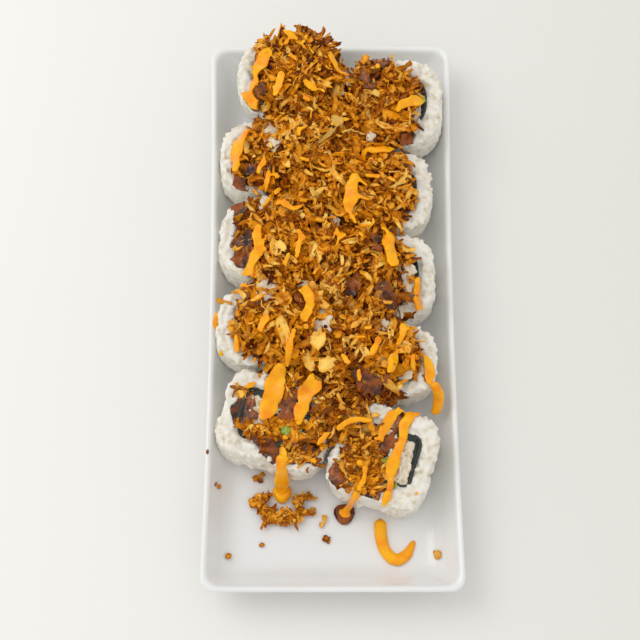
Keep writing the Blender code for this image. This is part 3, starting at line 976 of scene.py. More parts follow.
@dataclass(frozen=True)
class Slice:
    """One slice of roll: rice wall of whole grains, seaweed band and fillings.

    Place and sizes are in mm, angles in degrees.
    """

    name: str
    x: float
    y: float
    lift: float
    width: float
    depth: float
    height: float
    power: float
    heel: float
    turn: float
    far_up: float
    right_up: float
    seed: int

    grain_half: tuple[float, float, float] = (2.35, 1.3, 1.15)
    rice_band: tuple[float, float] = (0.69, 0.92)
    ring_share: tuple[float, float] = (0.64, 0.57)
    ring_thickness: float = 1.25
    ring_foot: float = 9.0
    # height of the dark disc of painted shade over the band's foot, in mm
    shade_disc_rise: float = 7.7
    ring_rises: tuple[float, ...] = (3.0, 3.0, 1.7, 0.9)
    ring_sink: float = 1.6
    ring_open: tuple[float, float] = (0.62, 0.3)
    block_half_height: float = 4.0

    @property
    def front(self) -> bool:
        """True for the two slices that show their cut face."""
        return self.name.endswith("5")

    @property
    def side(self) -> float:
        """Which row the slice is in: -1 for the left one and 1 for the right one."""
        return -1.0 if "_l" in self.name else 1.0

    @property
    def frame(self) -> Matrix:
        """Placement of the slice over the plate.

        Returns:
            The placement.
        """
        lean = (Matrix.Rotation(math.radians(self.far_up), 4, "X")
                @ Matrix.Rotation(math.radians(-self.right_up), 4, "Y"))
        return (Matrix.Translation(Vector((self.x, self.y, self.lift)) * MM)
                @ Matrix.Rotation(math.radians(self.turn), 4, "Z") @ lean)

    def outline(self, angle: float, inset: float = 0.0, share: float = 1.0) -> Vector:
        """Point on the slice's squarish outline, in metres.

        Args:
            angle: direction from the middle, in radians.
            inset: how far inside the outline, in mm.
            share: size of the outline, 1 for the full one.

        Returns:
            The point.
        """
        half_x = self.width / 2 * share - inset
        half_y = self.depth / 2 * share - inset
        x = math.copysign(abs(math.cos(angle)) ** (2 / self.power), math.cos(angle)) * half_x
        y = math.copysign(abs(math.sin(angle)) ** (2 / self.power), math.sin(angle)) * half_y
        return Vector((x, y, 0.0)) * MM

    def heel_inset(self, z: float) -> float:
        """How far the wall is drawn in at a height over the base, all in mm.

        Args:
            z: height over the base, in mm.

        Returns:
            The inset, in mm.
        """
        if z >= self.heel * 1.1:
            return max(0.0, (z - (self.height - 3.0)) * 0.55) ** 1.3
        share = 1.0 - z / (self.heel * 1.1)
        return self.heel * share ** 2.4 + share

    def _core(self) -> bpy.types.Object:
        """Packed middle of the slice, a little inside its grains.

        Returns:
            The core, in the slice's own axes.
        """
        rest()
        bpy.ops.mesh.primitive_circle_add(vertices=48, radius=1.0, fill_type="NGON", location=(0, 0, 0))
        core = bpy.context.object
        inset = self.heel + 2.2
        move_points(core, lambda p: self.outline(math.atan2(p.y, p.x), inset))
        edit_all(core)
        z = 0.5
        bpy.ops.transform.translate(value=(0, 0, z * MM))
        before = (self.width / 2 - inset, self.depth / 2 - inset)
        for level in (2.0, self.heel * 0.5, self.heel * 1.1, self.height * 0.6, self.height - 3.5, self.height - 1.6):
            inset = self.heel_inset(level) + 1.5
            after = (self.width / 2 - inset, self.depth / 2 - inset)
            raise_ring(level - z, before, after, level)
            z, before = level, after
        rest()
        turn_outward(core)
        return core

    def _grains(self, grain: Template) -> bpy.types.Object:
        """Whole grains packed on the wall and on the rice band of the cut face.

        Args:
            grain: one grain as a template of unit size.

        Returns:
            All grains as one piece.
        """
        draw = random.Random(self.seed)
        swarm = Swarm("grains", [grain])
        for _ in range(560 if self.front else 500):
            angle = draw.uniform(0.0, math.tau)
            z = draw.uniform(0.8, self.height - 1.0)
            corner = abs(math.sin(2.0 * angle)) ** 2
            inset = self.heel_inset(z) + draw.uniform(1.25, 1.75) + 0.9 * corner
            spot = self.outline(angle, inset)
            ahead = self.outline(angle + 0.02, inset)
            out = Vector(((ahead - spot).y, -(ahead - spot).x, 0.0)).normalized()
            out = (out + UP * draw.uniform(-0.15, 0.15)).normalized()
            spot.z = z * MM
            size = self._grain_size(draw)
            size.x *= 1.0 - 0.3 * corner
            swarm.add(0, placed(spot, out, draw.uniform(0, math.pi), size))
        for _ in range(260 if self.front else 200):
            angle = draw.uniform(0.0, math.tau)
            share = math.sqrt(draw.uniform(self.rice_band[0] ** 2, self.rice_band[1] ** 2))
            spot = self.outline(angle, 0.0, share)
            spot.z = (self.height - 1.25 - max(0.0, share - 0.86) * 16.0 + draw.uniform(-0.5, 0.35)) * MM
            lean = Vector((draw.uniform(-0.2, 0.2), draw.uniform(-0.2, 0.2), 1.0)).normalized()
            swarm.add(0, placed(spot, lean, draw.uniform(0, math.pi), self._grain_size(draw)))
        return swarm.build()

    def _grain_size(self, draw: random.Random) -> Vector:
        """Size of one grain, in metres.

        Args:
            draw: where the numbers come from.

        Returns:
            Half sizes on three axes.
        """
        long, wide, thick = self.grain_half
        return Vector((long * draw.uniform(0.8, 1.12), wide * draw.uniform(0.9, 1.12),
                       thick * draw.uniform(0.9, 1.1))) * MM

    def build_rice(self, grain: Template, plate: Surface, look: bpy.types.Material) -> bpy.types.Object:
        """Rice of the slice, set down on the plate.

        Args:
            grain: one grain as a template of unit size.
            plate: what the slice rests on.
            look: the rice material.

        Returns:
            The finished piece, which stands for the slice's node.
        """
        rice = gather(self.name + "_rice", [self._core(), self._grains(grain)])
        remesh(rice, 0.48 if self.front else 0.58, 3 if self.front else 2)
        rice.data.transform(self.frame)
        self._press(rice, plate)
        shade(rice)
        return hand_over(rice, look, "rice", self.name)

    def _press(self, piece: bpy.types.Object, plate: Surface) -> None:
        """Press a piece's base to the plate's walls and floor.

        Args:
            piece: the rice.
            plate: what it rests on.
        """
        def seated(point: Vector) -> Vector:
            if point.z < 0.022:
                point.z = max(point.z - 0.4 * MM, plate.height(point.x, point.y) + PLATE_TOP_AIR * MM)
            return point
        move_points(piece, seated)

    def build_seaweed(self, look: bpy.types.Material) -> bpy.types.Object:
        """Seaweed band round the fillings, with a dark seaweed disc inside it as painted shade in the gaps between the
        fillings.

        Args:
            look: the seaweed material.

        Returns:
            The finished band.
        """
        rest()
        bpy.ops.mesh.primitive_circle_add(vertices=96, radius=1.0, fill_type="NOTHING", location=(0, 0, 0))
        band = bpy.context.object
        band.name = self.name + "_seaweed"
        seed = self.seed * 1.37

        def drawn(point: Vector) -> Vector:
            angle = math.atan2(point.y, point.x)
            spot = self.outline(angle, 0.5 + 1.6 * noise.noise(Vector((math.cos(angle), math.sin(angle), seed)) * 1.6))
            across, deep = self.ring_share
            return Vector((spot.x * across, spot.y * deep, (self.height - self.ring_foot) * MM))

        move_points(band, drawn)
        edit_all(band)
        for rise in self.ring_rises:
            bpy.ops.mesh.extrude_edges_move(TRANSFORM_OT_translate={"value": (0, 0, rise * MM)})
        rest()
        top = (self.height - 1.0) * MM
        move_points(band, lambda p: p + (UP * wobble(p, 0.004, seed) * 0.7 * MM if p.z > top else p * 0.0))
        outward = math.pi if self.side < 0 else 0.0

        def shown(point: Vector) -> Vector:
            away = abs(math.remainder(math.atan2(point.y, point.x) - outward, math.tau))
            return point - UP * min(1.0, max(0.0, (away - self.ring_open[0]) / self.ring_open[1])) * self.ring_sink * MM

        move_points(band, shown)
        finish_modifier(band, "SOLIDIFY", thickness=self.ring_thickness * MM, offset=0.0)
        rest()
        # painted shade: a dark seaweed disc just under the cut face, standing in for the shade in the gaps between the
        # fillings
        bpy.ops.mesh.primitive_circle_add(vertices=96, radius=1.0, fill_type="NGON", location=(0, 0, 0))
        floor = bpy.context.object
        move_points(floor, lambda p: drawn(p) + UP * self.shade_disc_rise * MM)
        finish_modifier(floor, "SOLIDIFY", thickness=0.8 * MM, offset=-1.0)
        band = gather(band.name, [band, floor])
        finish_modifier(band, "BEVEL", width=0.16 * MM, segments=2)
        band.data.transform(self.frame)
        shade(band, 50)
        return hand_over(band, look, None)

    def _block(self, name: str, centre: tuple[float, float], half: tuple[float, float], rise: float, turn: float,
               lump: float) -> bpy.types.Object:
        """Rounded block of a filling standing in the slice.

        Args:
            name: its name.
            centre: middle in the slice's own axes, in mm.
            half: half sizes, in mm.
            rise: its top under the slice's height, in mm.
            turn: its turn, in degrees.
            lump: depth of its unevenness, in mm.

        Returns:
            The block.
        """
        rest()
        bpy.ops.mesh.primitive_cube_add(size=2.0, location=(0, 0, 0))
        block = bpy.context.object
        block.name = name
        edit_all(block)
        bpy.ops.mesh.subdivide(number_cuts=5)
        bpy.ops.transform.resize(value=(half[0] * MM, half[1] * MM, self.block_half_height * MM),
                                 center_override=(0, 0, 0))
        rest()
        finish_modifier(block, "BEVEL", width=min(half) * 0.5 * MM, segments=4, limit_method="ANGLE")
        middle = Vector((centre[0], centre[1], self.height - rise - self.block_half_height))
        block.data.transform(Matrix.Translation(middle * MM) @ Matrix.Rotation(math.radians(turn), 4, "Z"))
        finish_modifier(block, "REMESH", mode="VOXEL", voxel_size=0.45 * MM)
        seed = self.seed + centre[0]
        move_points(block, lambda p: p + (UP + p.normalized()) * wobble(p, 0.0016, seed) * lump * MM)
        block.data.transform(self.frame)
        shade(block)
        return block

    def build_fillings(self, looks: Looks) -> None:
        """Crab, cucumber and avocado inside the seaweed.

        The plan gives middle, half sizes, drop under the cut face, turn and lumpiness for a slice of 50 by 42 mm.

        Args:
            looks: the finishes by name.
        """
        sx, sy = self.width / 50.0, self.depth / 42.0
        flip = self.side
        plan = (
            ("crab", (8.0 * flip, -1.0), (4.6 if flip < 0 else 5.7, 9.5), 0.2, 5.0, 0.9),
            ("crab_shreds", (-4.0 * flip, 6.4), (8.0, 3.8), 0.9, 10.0, 0.8),
            ("cucumber", (1.4 * flip, -7.4), (2.6, 2.6), 0.6, 20.0, 0.2),
            ("avocado", (-8.6 * flip, -2.6), (3.6, 5.2), 0.9, -8.0, 0.3),
            ("crab_middle", (-1.8 * flip, -0.6), (4.6, 4.4), 1.2, 30.0, 0.8),
        )
        for kind, centre, half, rise, turn, lump in plan:
            block = self._block(f"{self.name}_{kind}", (centre[0] * sx, centre[1] * sy),
                                (half[0] * sx, half[1] * sy), rise, turn, lump)
            hand_over(block, looks[kind.split("_")[0]], None)


SLICES = (
    Slice("roll_l1", -21.4, 111.0, 9.04, 47.0, 41.5, 28.5, 2.7, 9.0, 8.0, 13.0, -1.0, 11),
    Slice("roll_r1", 31.8, 94.4, 8.42, 45.0, 45.0, 26.0, 3.0, 6.0, -4.0, 2.0, 6.0, 12),
    Slice("roll_l2", -28.4, 66.0, 7.33, 47.5, 38.0, 26.5, 3.0, 6.0, 2.0, 0.0, -2.5, 13),
    Slice("roll_r2", 24.6, 50.2, 7.00, 45.0, 40.5, 26.0, 3.0, 6.0, 0.0, 0.0, 1.5, 14),
    Slice("roll_l3", -28.0, 26.1, 7.18, 47.5, 39.5, 26.0, 3.2, 6.0, -2.0, 0.0, -2.0, 15),
    Slice("roll_r3", 25.0, 8.8, 7.18, 45.5, 40.5, 26.0, 3.2, 6.0, 2.0, 0.5, 2.0, 16),
    Slice("roll_l4", -28.4, -15.0, 7.19, 48.0, 38.0, 26.0, 3.2, 6.0, -6.0, 0.0, -2.0, 17),
    Slice("roll_r4", 24.6, -29.8, 6.87, 45.0, 34.5, 26.0, 3.2, 6.0, -4.0, 0.0, 1.0, 18),
    Slice("roll_l5", -25.0, -57.5, 7.15, 50.3, 40.5, 26.0, 4.8, 5.5, -15.5, -0.5, -1.5, 19),
    Slice("roll_r5", 22.3, -72.3, 6.98, 45.8, 44.0, 26.0, 4.8, 4.5, -17.0, 1.0, 0.5, 20),
)


# ---------------------------------------------------------------- fried onion


class FlakeKind(Enum):
    """Shapes that fried onion breaks into."""

    STRIP = "strip"
    CURL = "curl"
    RIBBON = "ribbon"
    CHIP = "chip"
    CRUMB = "crumb"


STRIP, CURL, RIBBON, CHIP, CRUMB = FlakeKind


@dataclass(frozen=True)
class FlakeShape:
    """Ranges of one kind of flake: sizes in mm, angles in degrees."""

    length: tuple[float, float]
    width: tuple[float, float]
    thickness: float
    arc: tuple[float, float]
    rise: tuple[float, float]
    twist: tuple[float, float]
    cup: float
    crinkle: float
    cells: tuple[int, int]


FLAKE_SHAPES = {
    STRIP: FlakeShape((6.0, 12.5), (1.2, 2.4), 0.42, (-45, 45), (-60, 60), (-60, 60), 0.7, 1.5, (7, 2)),
    CURL: FlakeShape((9.0, 15.0), (1.1, 2.0), 0.45, (80, 200), (-40, 40), (-110, 110), 0.7, 1.3, (10, 2)),
    RIBBON: FlakeShape((7.0, 12.0), (2.2, 3.8), 0.36, (-60, 60), (-50, 50), (-150, 150), 0.6, 2.2, (8, 2)),
    CHIP: FlakeShape((4.2, 6.6), (3.2, 5.2), 0.38, (-20, 20), (-40, 60), (-30, 30), 1.4, 1.7, (5, 4)),
    CRUMB: FlakeShape((2.0, 3.8), (1.3, 2.4), 0.7, (-40, 40), (-40, 40), (-60, 60), 0.5, 1.0, (3, 2)),
}


Stock = dict[FlakeKind, list[Template]]


@dataclass
class FlakeShop:
    """Models the templates of fried onion."""

    each: int = 9
    seed: int = 3

    def stock(self, kinds: Sequence[FlakeKind]) -> Stock:
        """Templates of some kinds.

        Args:
            kinds: the kinds that are needed.

        Returns:
            A row of templates for each kind.
        """
        draw = random.Random(self.seed)
        return {kind: [self.model(kind, draw) for _ in range(self.each)] for kind in kinds}

    def model(self, kind: FlakeKind, draw: random.Random) -> Template:
        """One flake, cut from a small grid that is bent, curled and given thickness.

        Args:
            kind: which kind.
            draw: where the numbers come from.

        Returns:
            The flake as a template.
        """
        shape = FLAKE_SHAPES[kind]
        rest()
        bpy.ops.mesh.primitive_grid_add(x_subdivisions=shape.cells[0], y_subdivisions=shape.cells[1], size=1.0,
                                        location=(0, 0, 0))
        flake = bpy.context.object
        edge = [1.0 if max(abs(v.co.x), abs(v.co.y)) > 0.499 else 0.0 for v in flake.data.vertices]
        length, width = draw.uniform(*shape.length), draw.uniform(*shape.width)
        arc, rise, twist = (math.radians(draw.uniform(*span)) for span in (shape.arc, shape.rise, shape.twist))
        seed = draw.uniform(0, 50)
        lopsided = draw.uniform(-0.9, 0.9)

        def formed(point: Vector) -> Vector:
            u, v = point.x, point.y
            if kind in (CHIP, CRUMB):
                round_off = math.sqrt(max(0.05, 1.0 - 1.9 * v * v)), math.sqrt(max(0.05, 1.0 - 1.9 * u * u))
                u, v = u * round_off[0], v * round_off[1]
            rip = 0.75 if kind in (CHIP, RIBBON) else 0.5
            ragged = 1.0 + rip * noise.noise(Vector((u * 8.0, 3.0 * math.copysign(1.0, v) if v else 0.0, seed)))
            taper = 1.0 - 0.45 * (2.0 * abs(point.x)) ** 4 + lopsided * u if kind is not CHIP else 1.0
            across = v * width * ragged * taper
            along = u * length * (1.0 + 0.3 * noise.noise(Vector((v * 5.0, seed, 1.0 + math.copysign(1.0, u)))))
            bend = arc if abs(arc) > 0.05 else 0.05
            radius = length / bend
            heading = along / radius
            spine = Vector((radius * math.sin(heading), radius * (1.0 - math.cos(heading)),
                            0.5 * rise / length * along * along * 2.0))
            side = Vector((-math.sin(heading), math.cos(heading), 0.0))
            turn = twist * u + 0.7 * noise.noise(Vector((u * 3.0, seed, 7.0)))
            lift = shape.cup * (abs(v) * 2.0) ** 2 * 0.6
            crinkle = shape.crinkle * noise.noise(Vector((u * length * 0.42, v * 1.6, seed + 9.0)))
            normal = UP * math.cos(turn) - side * math.sin(turn)
            wide = side * across * math.cos(turn) + UP * across * math.sin(turn)
            return (spine + wide + normal * (lift + crinkle)) * MM

        move_points(flake, formed)
        middle = sum((v.co for v in flake.data.vertices), Vector()) / len(flake.data.vertices)
        move_points(flake, lambda p: p - middle)
        finish_modifier(flake, "SOLIDIFY", thickness=shape.thickness * MM, offset=0.0)
        return Template.of(flake, edge * 2)


def shape_list(stock: Stock) -> list[Template]:
    """All templates of a stock in one row."""
    return [shape for shapes in stock.values() for shape in shapes]


def shape_number(stock: Stock, kind: FlakeKind, index: int) -> int:
    """Place in that row of a kind's template, picked in turn by an index.

    Args:
        stock: the flake templates.
        kind: which kind.
        index: number of the flake that is laid.

    Returns:
        The place in the row.
    """
    each = len(stock[kind])
    return list(stock).index(kind) * each + index % each


def near_route(x: float, y: float, route: Route) -> float:
    """Distance in mm from a place to the edge of a route, below 0 inside it.

    Args:
        x: place across the plate, in mm.
        y: place along the plate, in mm.
        route: half width and points of the route.

    Returns:
        The distance.
    """
    half, points = route
    best = 1e9
    for first, second in zip(points, points[1:]):
        ax, ay, bx, by = first[0], first[1], second[0], second[1]
        length = max(1e-6, (bx - ax) ** 2 + (by - ay) ** 2)
        share = max(0.0, min(1.0, ((x - ax) * (bx - ax) + (y - ay) * (by - ay)) / length))
        best = min(best, math.hypot(x - ax - (bx - ax) * share, y - ay - (by - ay) * share))
    return best - half


def near_mayo(x: float, y: float, routes: Sequence[Route]) -> float:
    """Distance in mm from a place to the nearest of some routes."""
    return min(near_route(x, y, route) for route in routes)


def near_pool(x: float, y: float, pools: Sequence[Spot], share: float = 1.0) -> float:
    """Distance in mm from a place to the nearest of some round pools, each drawn in to a share of its radius."""
    return min(math.hypot(x - a, y - b) - r * share for a, b, r in pools)


HEAP_MAYO: tuple[Route, ...] = (
    (1.8, ((-21.6, 125.2), (-16.1, 120.0))), (3.0, ((-29.4, 112.8), (-31.9, 108.1), (-35.0, 104.4))),
    (3.2, ((-39.4, 95.0), (-37.8, 90.4), (-34.4, 88.0))), (2.4, ((-34.0, 101.0), (-36.8, 97.4))),
    (2.1, ((-22.9, 101.6), (-24.7, 92.9))), (1.8, ((-11.5, 98.5), (-7.8, 95.5))), (1.4, ((0.0, 112.3), (3.2, 105.6))),
    (2.7, ((41.6, 91.9), (35.1, 88.4), (30.5, 84.3))), (1.6, ((5.3, 80.8), (8.5, 81.8))),
    (2.7, ((-38.8, 75.2), (-43.7, 67.3), (-43.5, 56.4))), (1.4, ((-30.4, 60.9), (-32.6, 54.0))),
    (2.3, ((15.2, 64.4), (22.0, 66.4), (27.9, 67.9))), (3.0, ((9.2, 50.8), (8.2, 43.8), (7.4, 37.0))),
    (1.4, ((-28.1, 54.0), (-29.4, 46.7))), (1.4, ((-24.4, 40.0), (-18.6, 36.6), (-12.8, 37.5))),
    (2.5, ((-32.8, 26.3), (-33.1, 15.3), (-37.0, 9.6), (-39.2, 3.1))), (1.6, ((-13.6, 23.2), (-15.8, 14.2))),
    (2.7, ((26.4, 24.4), (24.9, 17.7), (27.5, 11.0))), (1.6, ((38.2, 5.4), (37.6, -4.9), (39.6, -11.4))),
    (2.3, ((-11.0, -0.4), (-8.8, -7.4), (-11.8, -15.2))), (1.8, ((-28.4, -13.5), (-31.4, -19.9))),
    (1.4, ((-42.1, -22.2), (-41.6, -27.7))), (1.6, ((-17.0, -21.2), (-18.3, -28.0), (-19.6, -34.3))),
    (1.8, ((31.8, -15.5), (30.0, -21.0), (28.1, -26.0))), (1.8, ((19.9, -25.1), (17.2, -31.0))),
    (2.3, ((27.2, -31.6), (24.5, -38.4))), (2.1, ((41.0, -30.3), (42.5, -37.6), (44.6, -42.9))),
)

FRONT_MAYO: tuple[Route, ...] = (
    (4.4, ((-22.8, -36.6), (-25.0, -42.3), (-26.1, -48.4), (-29.5, -57.5))),
    (3.6, ((-9.2, -39.6), (-11.8, -45.0), (-12.2, -50.2), (-14.4, -58.8))), (2.3, ((-5.4, -42.2), (-10.5, -47.5))),
    (2.6, ((-21.6, -71.0), (-21.4, -76.1))), (2.2, ((30.4, -51.6), (24.7, -57.0), (21.1, -66.4))),
    (2.8, ((36.8, -51.9), (31.9, -58.8), (28.9, -67.6), (26.6, -76.0), (24.8, -84.7))),
    (1.9, ((24.6, -84.8), (23.3, -90.6))), (2.0, ((13.0, -83.4), (10.9, -88.3))),
    (1.7, ((17.0, -58.8), (9.3, -58.3), (2.4, -61.9))), (1.5, ((-36.5, -43.9), (-33.1, -41.8))),
    (1.6, ((-1.6, -65.4), (-6.2, -69.8))),
)

HANGING_MAYO: tuple[Route, ...] = (
    (2.9, ((-21.4, -75.2, 33.0), (-21.6, -78.0, 30.6), (-21.9, -80.0, 25.0), (-22.0, -81.0, 18.0),
           (-22.0, -82.3, 12.0), (-22.0, -84.0, 9.4))),
    (1.7, ((10.9, -88.3, 33.2), (9.6, -91.0, 30.0), (8.4, -92.0, 23.0), (7.2, -92.4, 15.0), (6.2, -92.6, 9.8))),
    (2.6, ((5.0, -93.1, 7.5), (5.9, -94.2, 7.6))),
    (1.8, ((23.3, -90.6, 34.4), (22.7, -93.0, 33.0), (22.6, -94.2, 29.5))),
    (2.2, ((44.4, -42.4, 33.6), (46.2, -44.4, 30.0), (46.8, -46.4, 25.5), (46.4, -49.4, 22.5), (45.6, -51.0, 21.0))),
    (1.7, ((-50.4, -9.2, 30.5), (-51.2, -11.2, 27.0), (-51.4, -12.6, 24.0))),
    (1.3, ((-46.8, -22.0, 31.6), (-48.2, -24.6, 29.5), (-48.8, -26.4, 27.0))),
)

FRONT_DABS = ((-31.9, -61.4, 1.3), (-20.2, -66.0, 1.5), (-8.0, -76.4, 1.6), (-4.8, -71.2, 1.3), (11.4, -77.5, 1.8),
              (13.8, -80.2, 1.6), (7.6, -84.4, 1.3), (35.5, -90.5, 1.1), (18.6, -66.8, 1.2), (2.8, -57.6, 1.2))

FRONT_POOLS = (
    (-39.8, -53.8, 3.6), (-37.3, -50.2, 3.6), (-35.5, -56.0, 2.7), (-40.2, -58.0, 2.0), (-36.8, -59.2, 2.3),
    (-19.6, -49.3, 3.6), (-18.3, -54.7, 3.6), (-20.8, -58.3, 3.2), (-17.4, -46.2, 2.7), (-6.2, -52.5, 3.2),
    (-4.5, -55.6, 2.3), (-30.2, -67.1, 2.7), (-27.6, -70.7, 3.2), (-25.9, -73.8, 2.5), (-13.9, -71.6, 3.6),
    (-10.5, -72.2, 4.1), (-7.9, -69.7, 3.6), (-16.0, -67.0, 3.2), (-22.0, -63.0, 3.4), (1.4, -83.8, 3.0),
    (1.3, -80.3, 2.3), (13.7, -90.1, 2.5), (17.0, -90.5, 2.5), (30.9, -57.0, 2.7), (29.1, -60.5, 2.3),
    (25.1, -67.2, 2.3), (22.9, -69.8, 1.8), (7.0, -72.5, 3.2), (12.0, -66.0, 3.4), (18.0, -78.0, 3.4),
    (10.0, -80.0, 3.4), (-17.5, -74.6, 2.6), (-27.4, -63.4, 2.4), (-33.2, -64.0, 2.0), (-24.0, -49.0, 2.6))

HEAP_POOLS = (
    (-40.8, 21.4, 4.1), (-38.5, 16.7, 4.6), (-41.6, 15.2, 2.7), (-36.4, 23.8, 2.7), (-42.1, 50.4, 3.6),
    (-42.9, 43.1, 3.2), (-41.0, 38.3, 2.7), (-36.3, 56.8, 2.7), (-37.1, 92.4, 4.6), (-40.2, 88.4, 2.7),
    (-31.6, 96.0, 2.7), (23.2, 111.9, 3.6), (15.7, 103.1, 2.7), (17.5, 98.0, 2.7), (34.9, 71.8, 3.6),
    (20.6, 23.4, 2.7), (19.2, 18.6, 2.3), (22.9, -1.2, 3.6), (25.4, -6.8, 3.2), (8.8, -0.2, 3.6),
    (-14.0, -4.9, 2.7), (14.5, -42.9, 4.6), (18.3, -44.5, 3.6), (11.9, -40.6, 3.2), (22.7, -42.8, 2.7),
    (41.5, -37.9, 2.3))

PALE_PATCHES = (
    (-28.4, 39.4, 4.0), (-27.8, 76.3, 3.2), (-26.9, 68.8, 2.6), (-28.1, 1.4, 3.4), (-29.8, -4.7, 3.2),
    (-3.5, -11.2, 3.6), (-4.4, -16.7, 3.4), (-14.0, 2.8, 3.0), (21.3, -17.2, 3.4), (-0.7, 32.2, 3.0),
    (-30.4, 58.9, 3.2), (31.2, -37.6, 2.6), (32.1, 9.2, 3.2), (33.0, 3.0, 2.8), (29.5, -9.0, 2.4), (17.5, 74.0, 1.5))

GREEN_BITS = (
    (-21.6, 18.8, 1.5), (-28.9, 96.5, 1.4), (-20.7, 16.9, 1.0), (25.4, -0.5, 1.0), (42.0, 93.4, 1.0),
    (35.6, 77.6, 1.2), (-20.4, -62.4, 1.5), (30.2, 82.8, 1.0), (26.3, -87.0, 0.7), (22.3, -76.5, 1.2))


@dataclass
class OnionHeap:
    """Heap of fried onion over the covered slices: a core coloured in painted shade, with loose flakes all over it.

    Each layer is how many flakes, how far they stand off the core in mm, their lean, and their lowest and highest
    lightness: darker near the core as painted shade in the heap's depths, lighter on top as painted light. The chances
    are for the flakes near the core and for those further out.
    """

    layers: tuple[tuple[int, float, float, float, float], ...] = (
        (1500, 0.2, 0.30, 0.12, 0.62), (1200, 1.0, 0.50, 0.34, 0.90), (560, 1.9, 0.65, 0.48, 1.12))
    seed: int = 29
    spread: tuple[tuple[float, float], tuple[float, float]] = ((-47.0, 43.0), (-51.0, 130.0))
    mix: tuple[tuple[FlakeKind, float], ...] = (
        (STRIP, 0.48), (CURL, 0.13), (RIBBON, 0.18), (CHIP, 0.11),
        (CRUMB, 0.10))
    least_cover: float = 0.3
    flake_scale: tuple[float, float] = (0.72, 1.15)
    flattest: float = 0.15
    refused_share: float = 0.25
    mayo_reach: float = 2.6
    sauce_reach: float = 3.0
    stray_mayo: tuple[float, float] = (0.06, 0.6)
    stray_sauce: tuple[float, float, float] = (0.16, 0.3, 0.8)
    mayo_chance: tuple[float, float] = (0.5, 0.16)
    pool_chance: tuple[float, float] = (0.35, 0.22)
    pale_chance: float = 0.12
    pool_share: float = 0.9

    def build_core(self, look: bpy.types.Material) -> bpy.types.Object:
        """Middle of the heap, from the node's own form, dark as painted shade in the gaps between the flakes.

        Args:
            look: the material of the depths, dark as painted shade.

        Returns:
            The finished core.
        """
        core = merged_copy("onion_heap", "onion_heap_core")
        finish_modifier(core, "REMESH", mode="VOXEL", voxel_size=0.9 * MM, use_smooth_shade=True)
        move_points(core, lambda p: p + UP * (wobble(p, 0.0026, 1.0) * 0.9 - 0.7) * MM)
        shade(core)
        return hand_over(core, look, "fried_onion", "onion_heap")

    def scatter(self, stock: Stock, rolls: Surface, clusters: "Clusters",
                look: bpy.types.Material) -> list[bpy.types.Object]:
        """Scatter flakes over the heap and in clusters on the front slices.

        Args:
            stock: the flake templates.
            rolls: what lies under the heap.
            clusters: the flakes on the two front slices.
            look: the onion material.

        Returns:
            One piece for each kind of flake.
        """
        draw = random.Random(self.seed)
        heap = Surface(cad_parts["onion_heap"])
        swarms = {kind: Swarm(f"onion_{kind.value}s", stock[kind], FLAKE_CREASE) for kind in stock}
        for count, stand, lean, low, high in self.layers:
            made = 0.0
            while made < count:
                x, y = draw.uniform(*self.spread[0]), draw.uniform(*self.spread[1])
                spot, normal = heap.under(x * MM, y * MM)
                if spot is None or spot.z < rolls.height(x * MM, y * MM) + self.least_cover * MM:
                    continue
                if not self._wanted(x, y, stand, draw):
                    made += self.refused_share
                    continue
                made += 1.0
                kind = self.kind(draw)
                mayo, sauce = self._wetness(x, y, draw)
                facing = (normal * 0.8 + UP * 0.5 + scattered(draw) * lean).normalized()
                if facing.z < self.flattest:
                    facing.z = self.flattest
                    facing.normalize()
                spot = spot + normal * (stand + draw.uniform(-0.5, 0.5)) * MM
                place = placed(spot, facing, draw.uniform(0, math.tau), draw.uniform(*self.flake_scale))
                number = draw.randrange(99)
                place.translation -= swarms[kind].excess(number, place)
                # the layer's lightness range paints shade near the core and light on the top layer
                swarms[kind].add(number, place, draw.uniform(low, high), mayo, sauce)
        clusters.add_to(swarms, rolls, self, draw)
        return [hand_over(swarm.build(), look, "fried_onion") for swarm in swarms.values()]

    def kind(self, draw: random.Random) -> FlakeKind:
        """Draw a kind by its share."""
        return draw.choices([kind for kind, _ in self.mix], [share for _, share in self.mix])[0]

    def _wetness(self, x: float, y: float, draw: random.Random) -> tuple[float, float]:
        """How much mayo and how much dark sauce a flake has on it, each 0 to 1.

        Args:
            x: place across the plate, in mm.
            y: place along the plate, in mm.
            draw: where the numbers come from.

        Returns:
            Mayo and sauce.
        """
        mayo = min(1.0, max(0.0, 1.0 - near_mayo(x, y, HEAP_MAYO) / self.mayo_reach)) * draw.choice((0.0, 0.5, 0.9))
        chance, amount = self.stray_mayo
        mayo += (draw.random() < chance) * amount
        sauce = min(1.0, max(0.0, 1.0 - near_pool(x, y, HEAP_POOLS) / self.sauce_reach)) * draw.choice((0.3, 0.8, 1.0))
        chance, low, high = self.stray_sauce
        sauce += (draw.random() < chance) * draw.uniform(low, high)
        return mayo, min(1.0, sauce)

    def _wanted(self, x: float, y: float, stand: float, draw: random.Random) -> bool:
        """Whether a flake may lie here, since mayo, pools and pale patches show between flakes.

        Args:
            x: place across the plate, in mm.
            y: place along the plate, in mm.
            stand: the layer's stand off the core, in mm.
            draw: where the numbers come from.

        Returns:
            True where the flake is laid.
        """
        outer = stand >= 1.0
        if near_mayo(x, y, HEAP_MAYO) < 0.0:
            return draw.random() < self.mayo_chance[outer]
        if near_pool(x, y, PALE_PATCHES) < 0.0:
            return draw.random() < self.pale_chance
        if near_pool(x, y, HEAP_POOLS, self.pool_share) < 0.0:
            return draw.random() < self.pool_chance[outer]
        return True


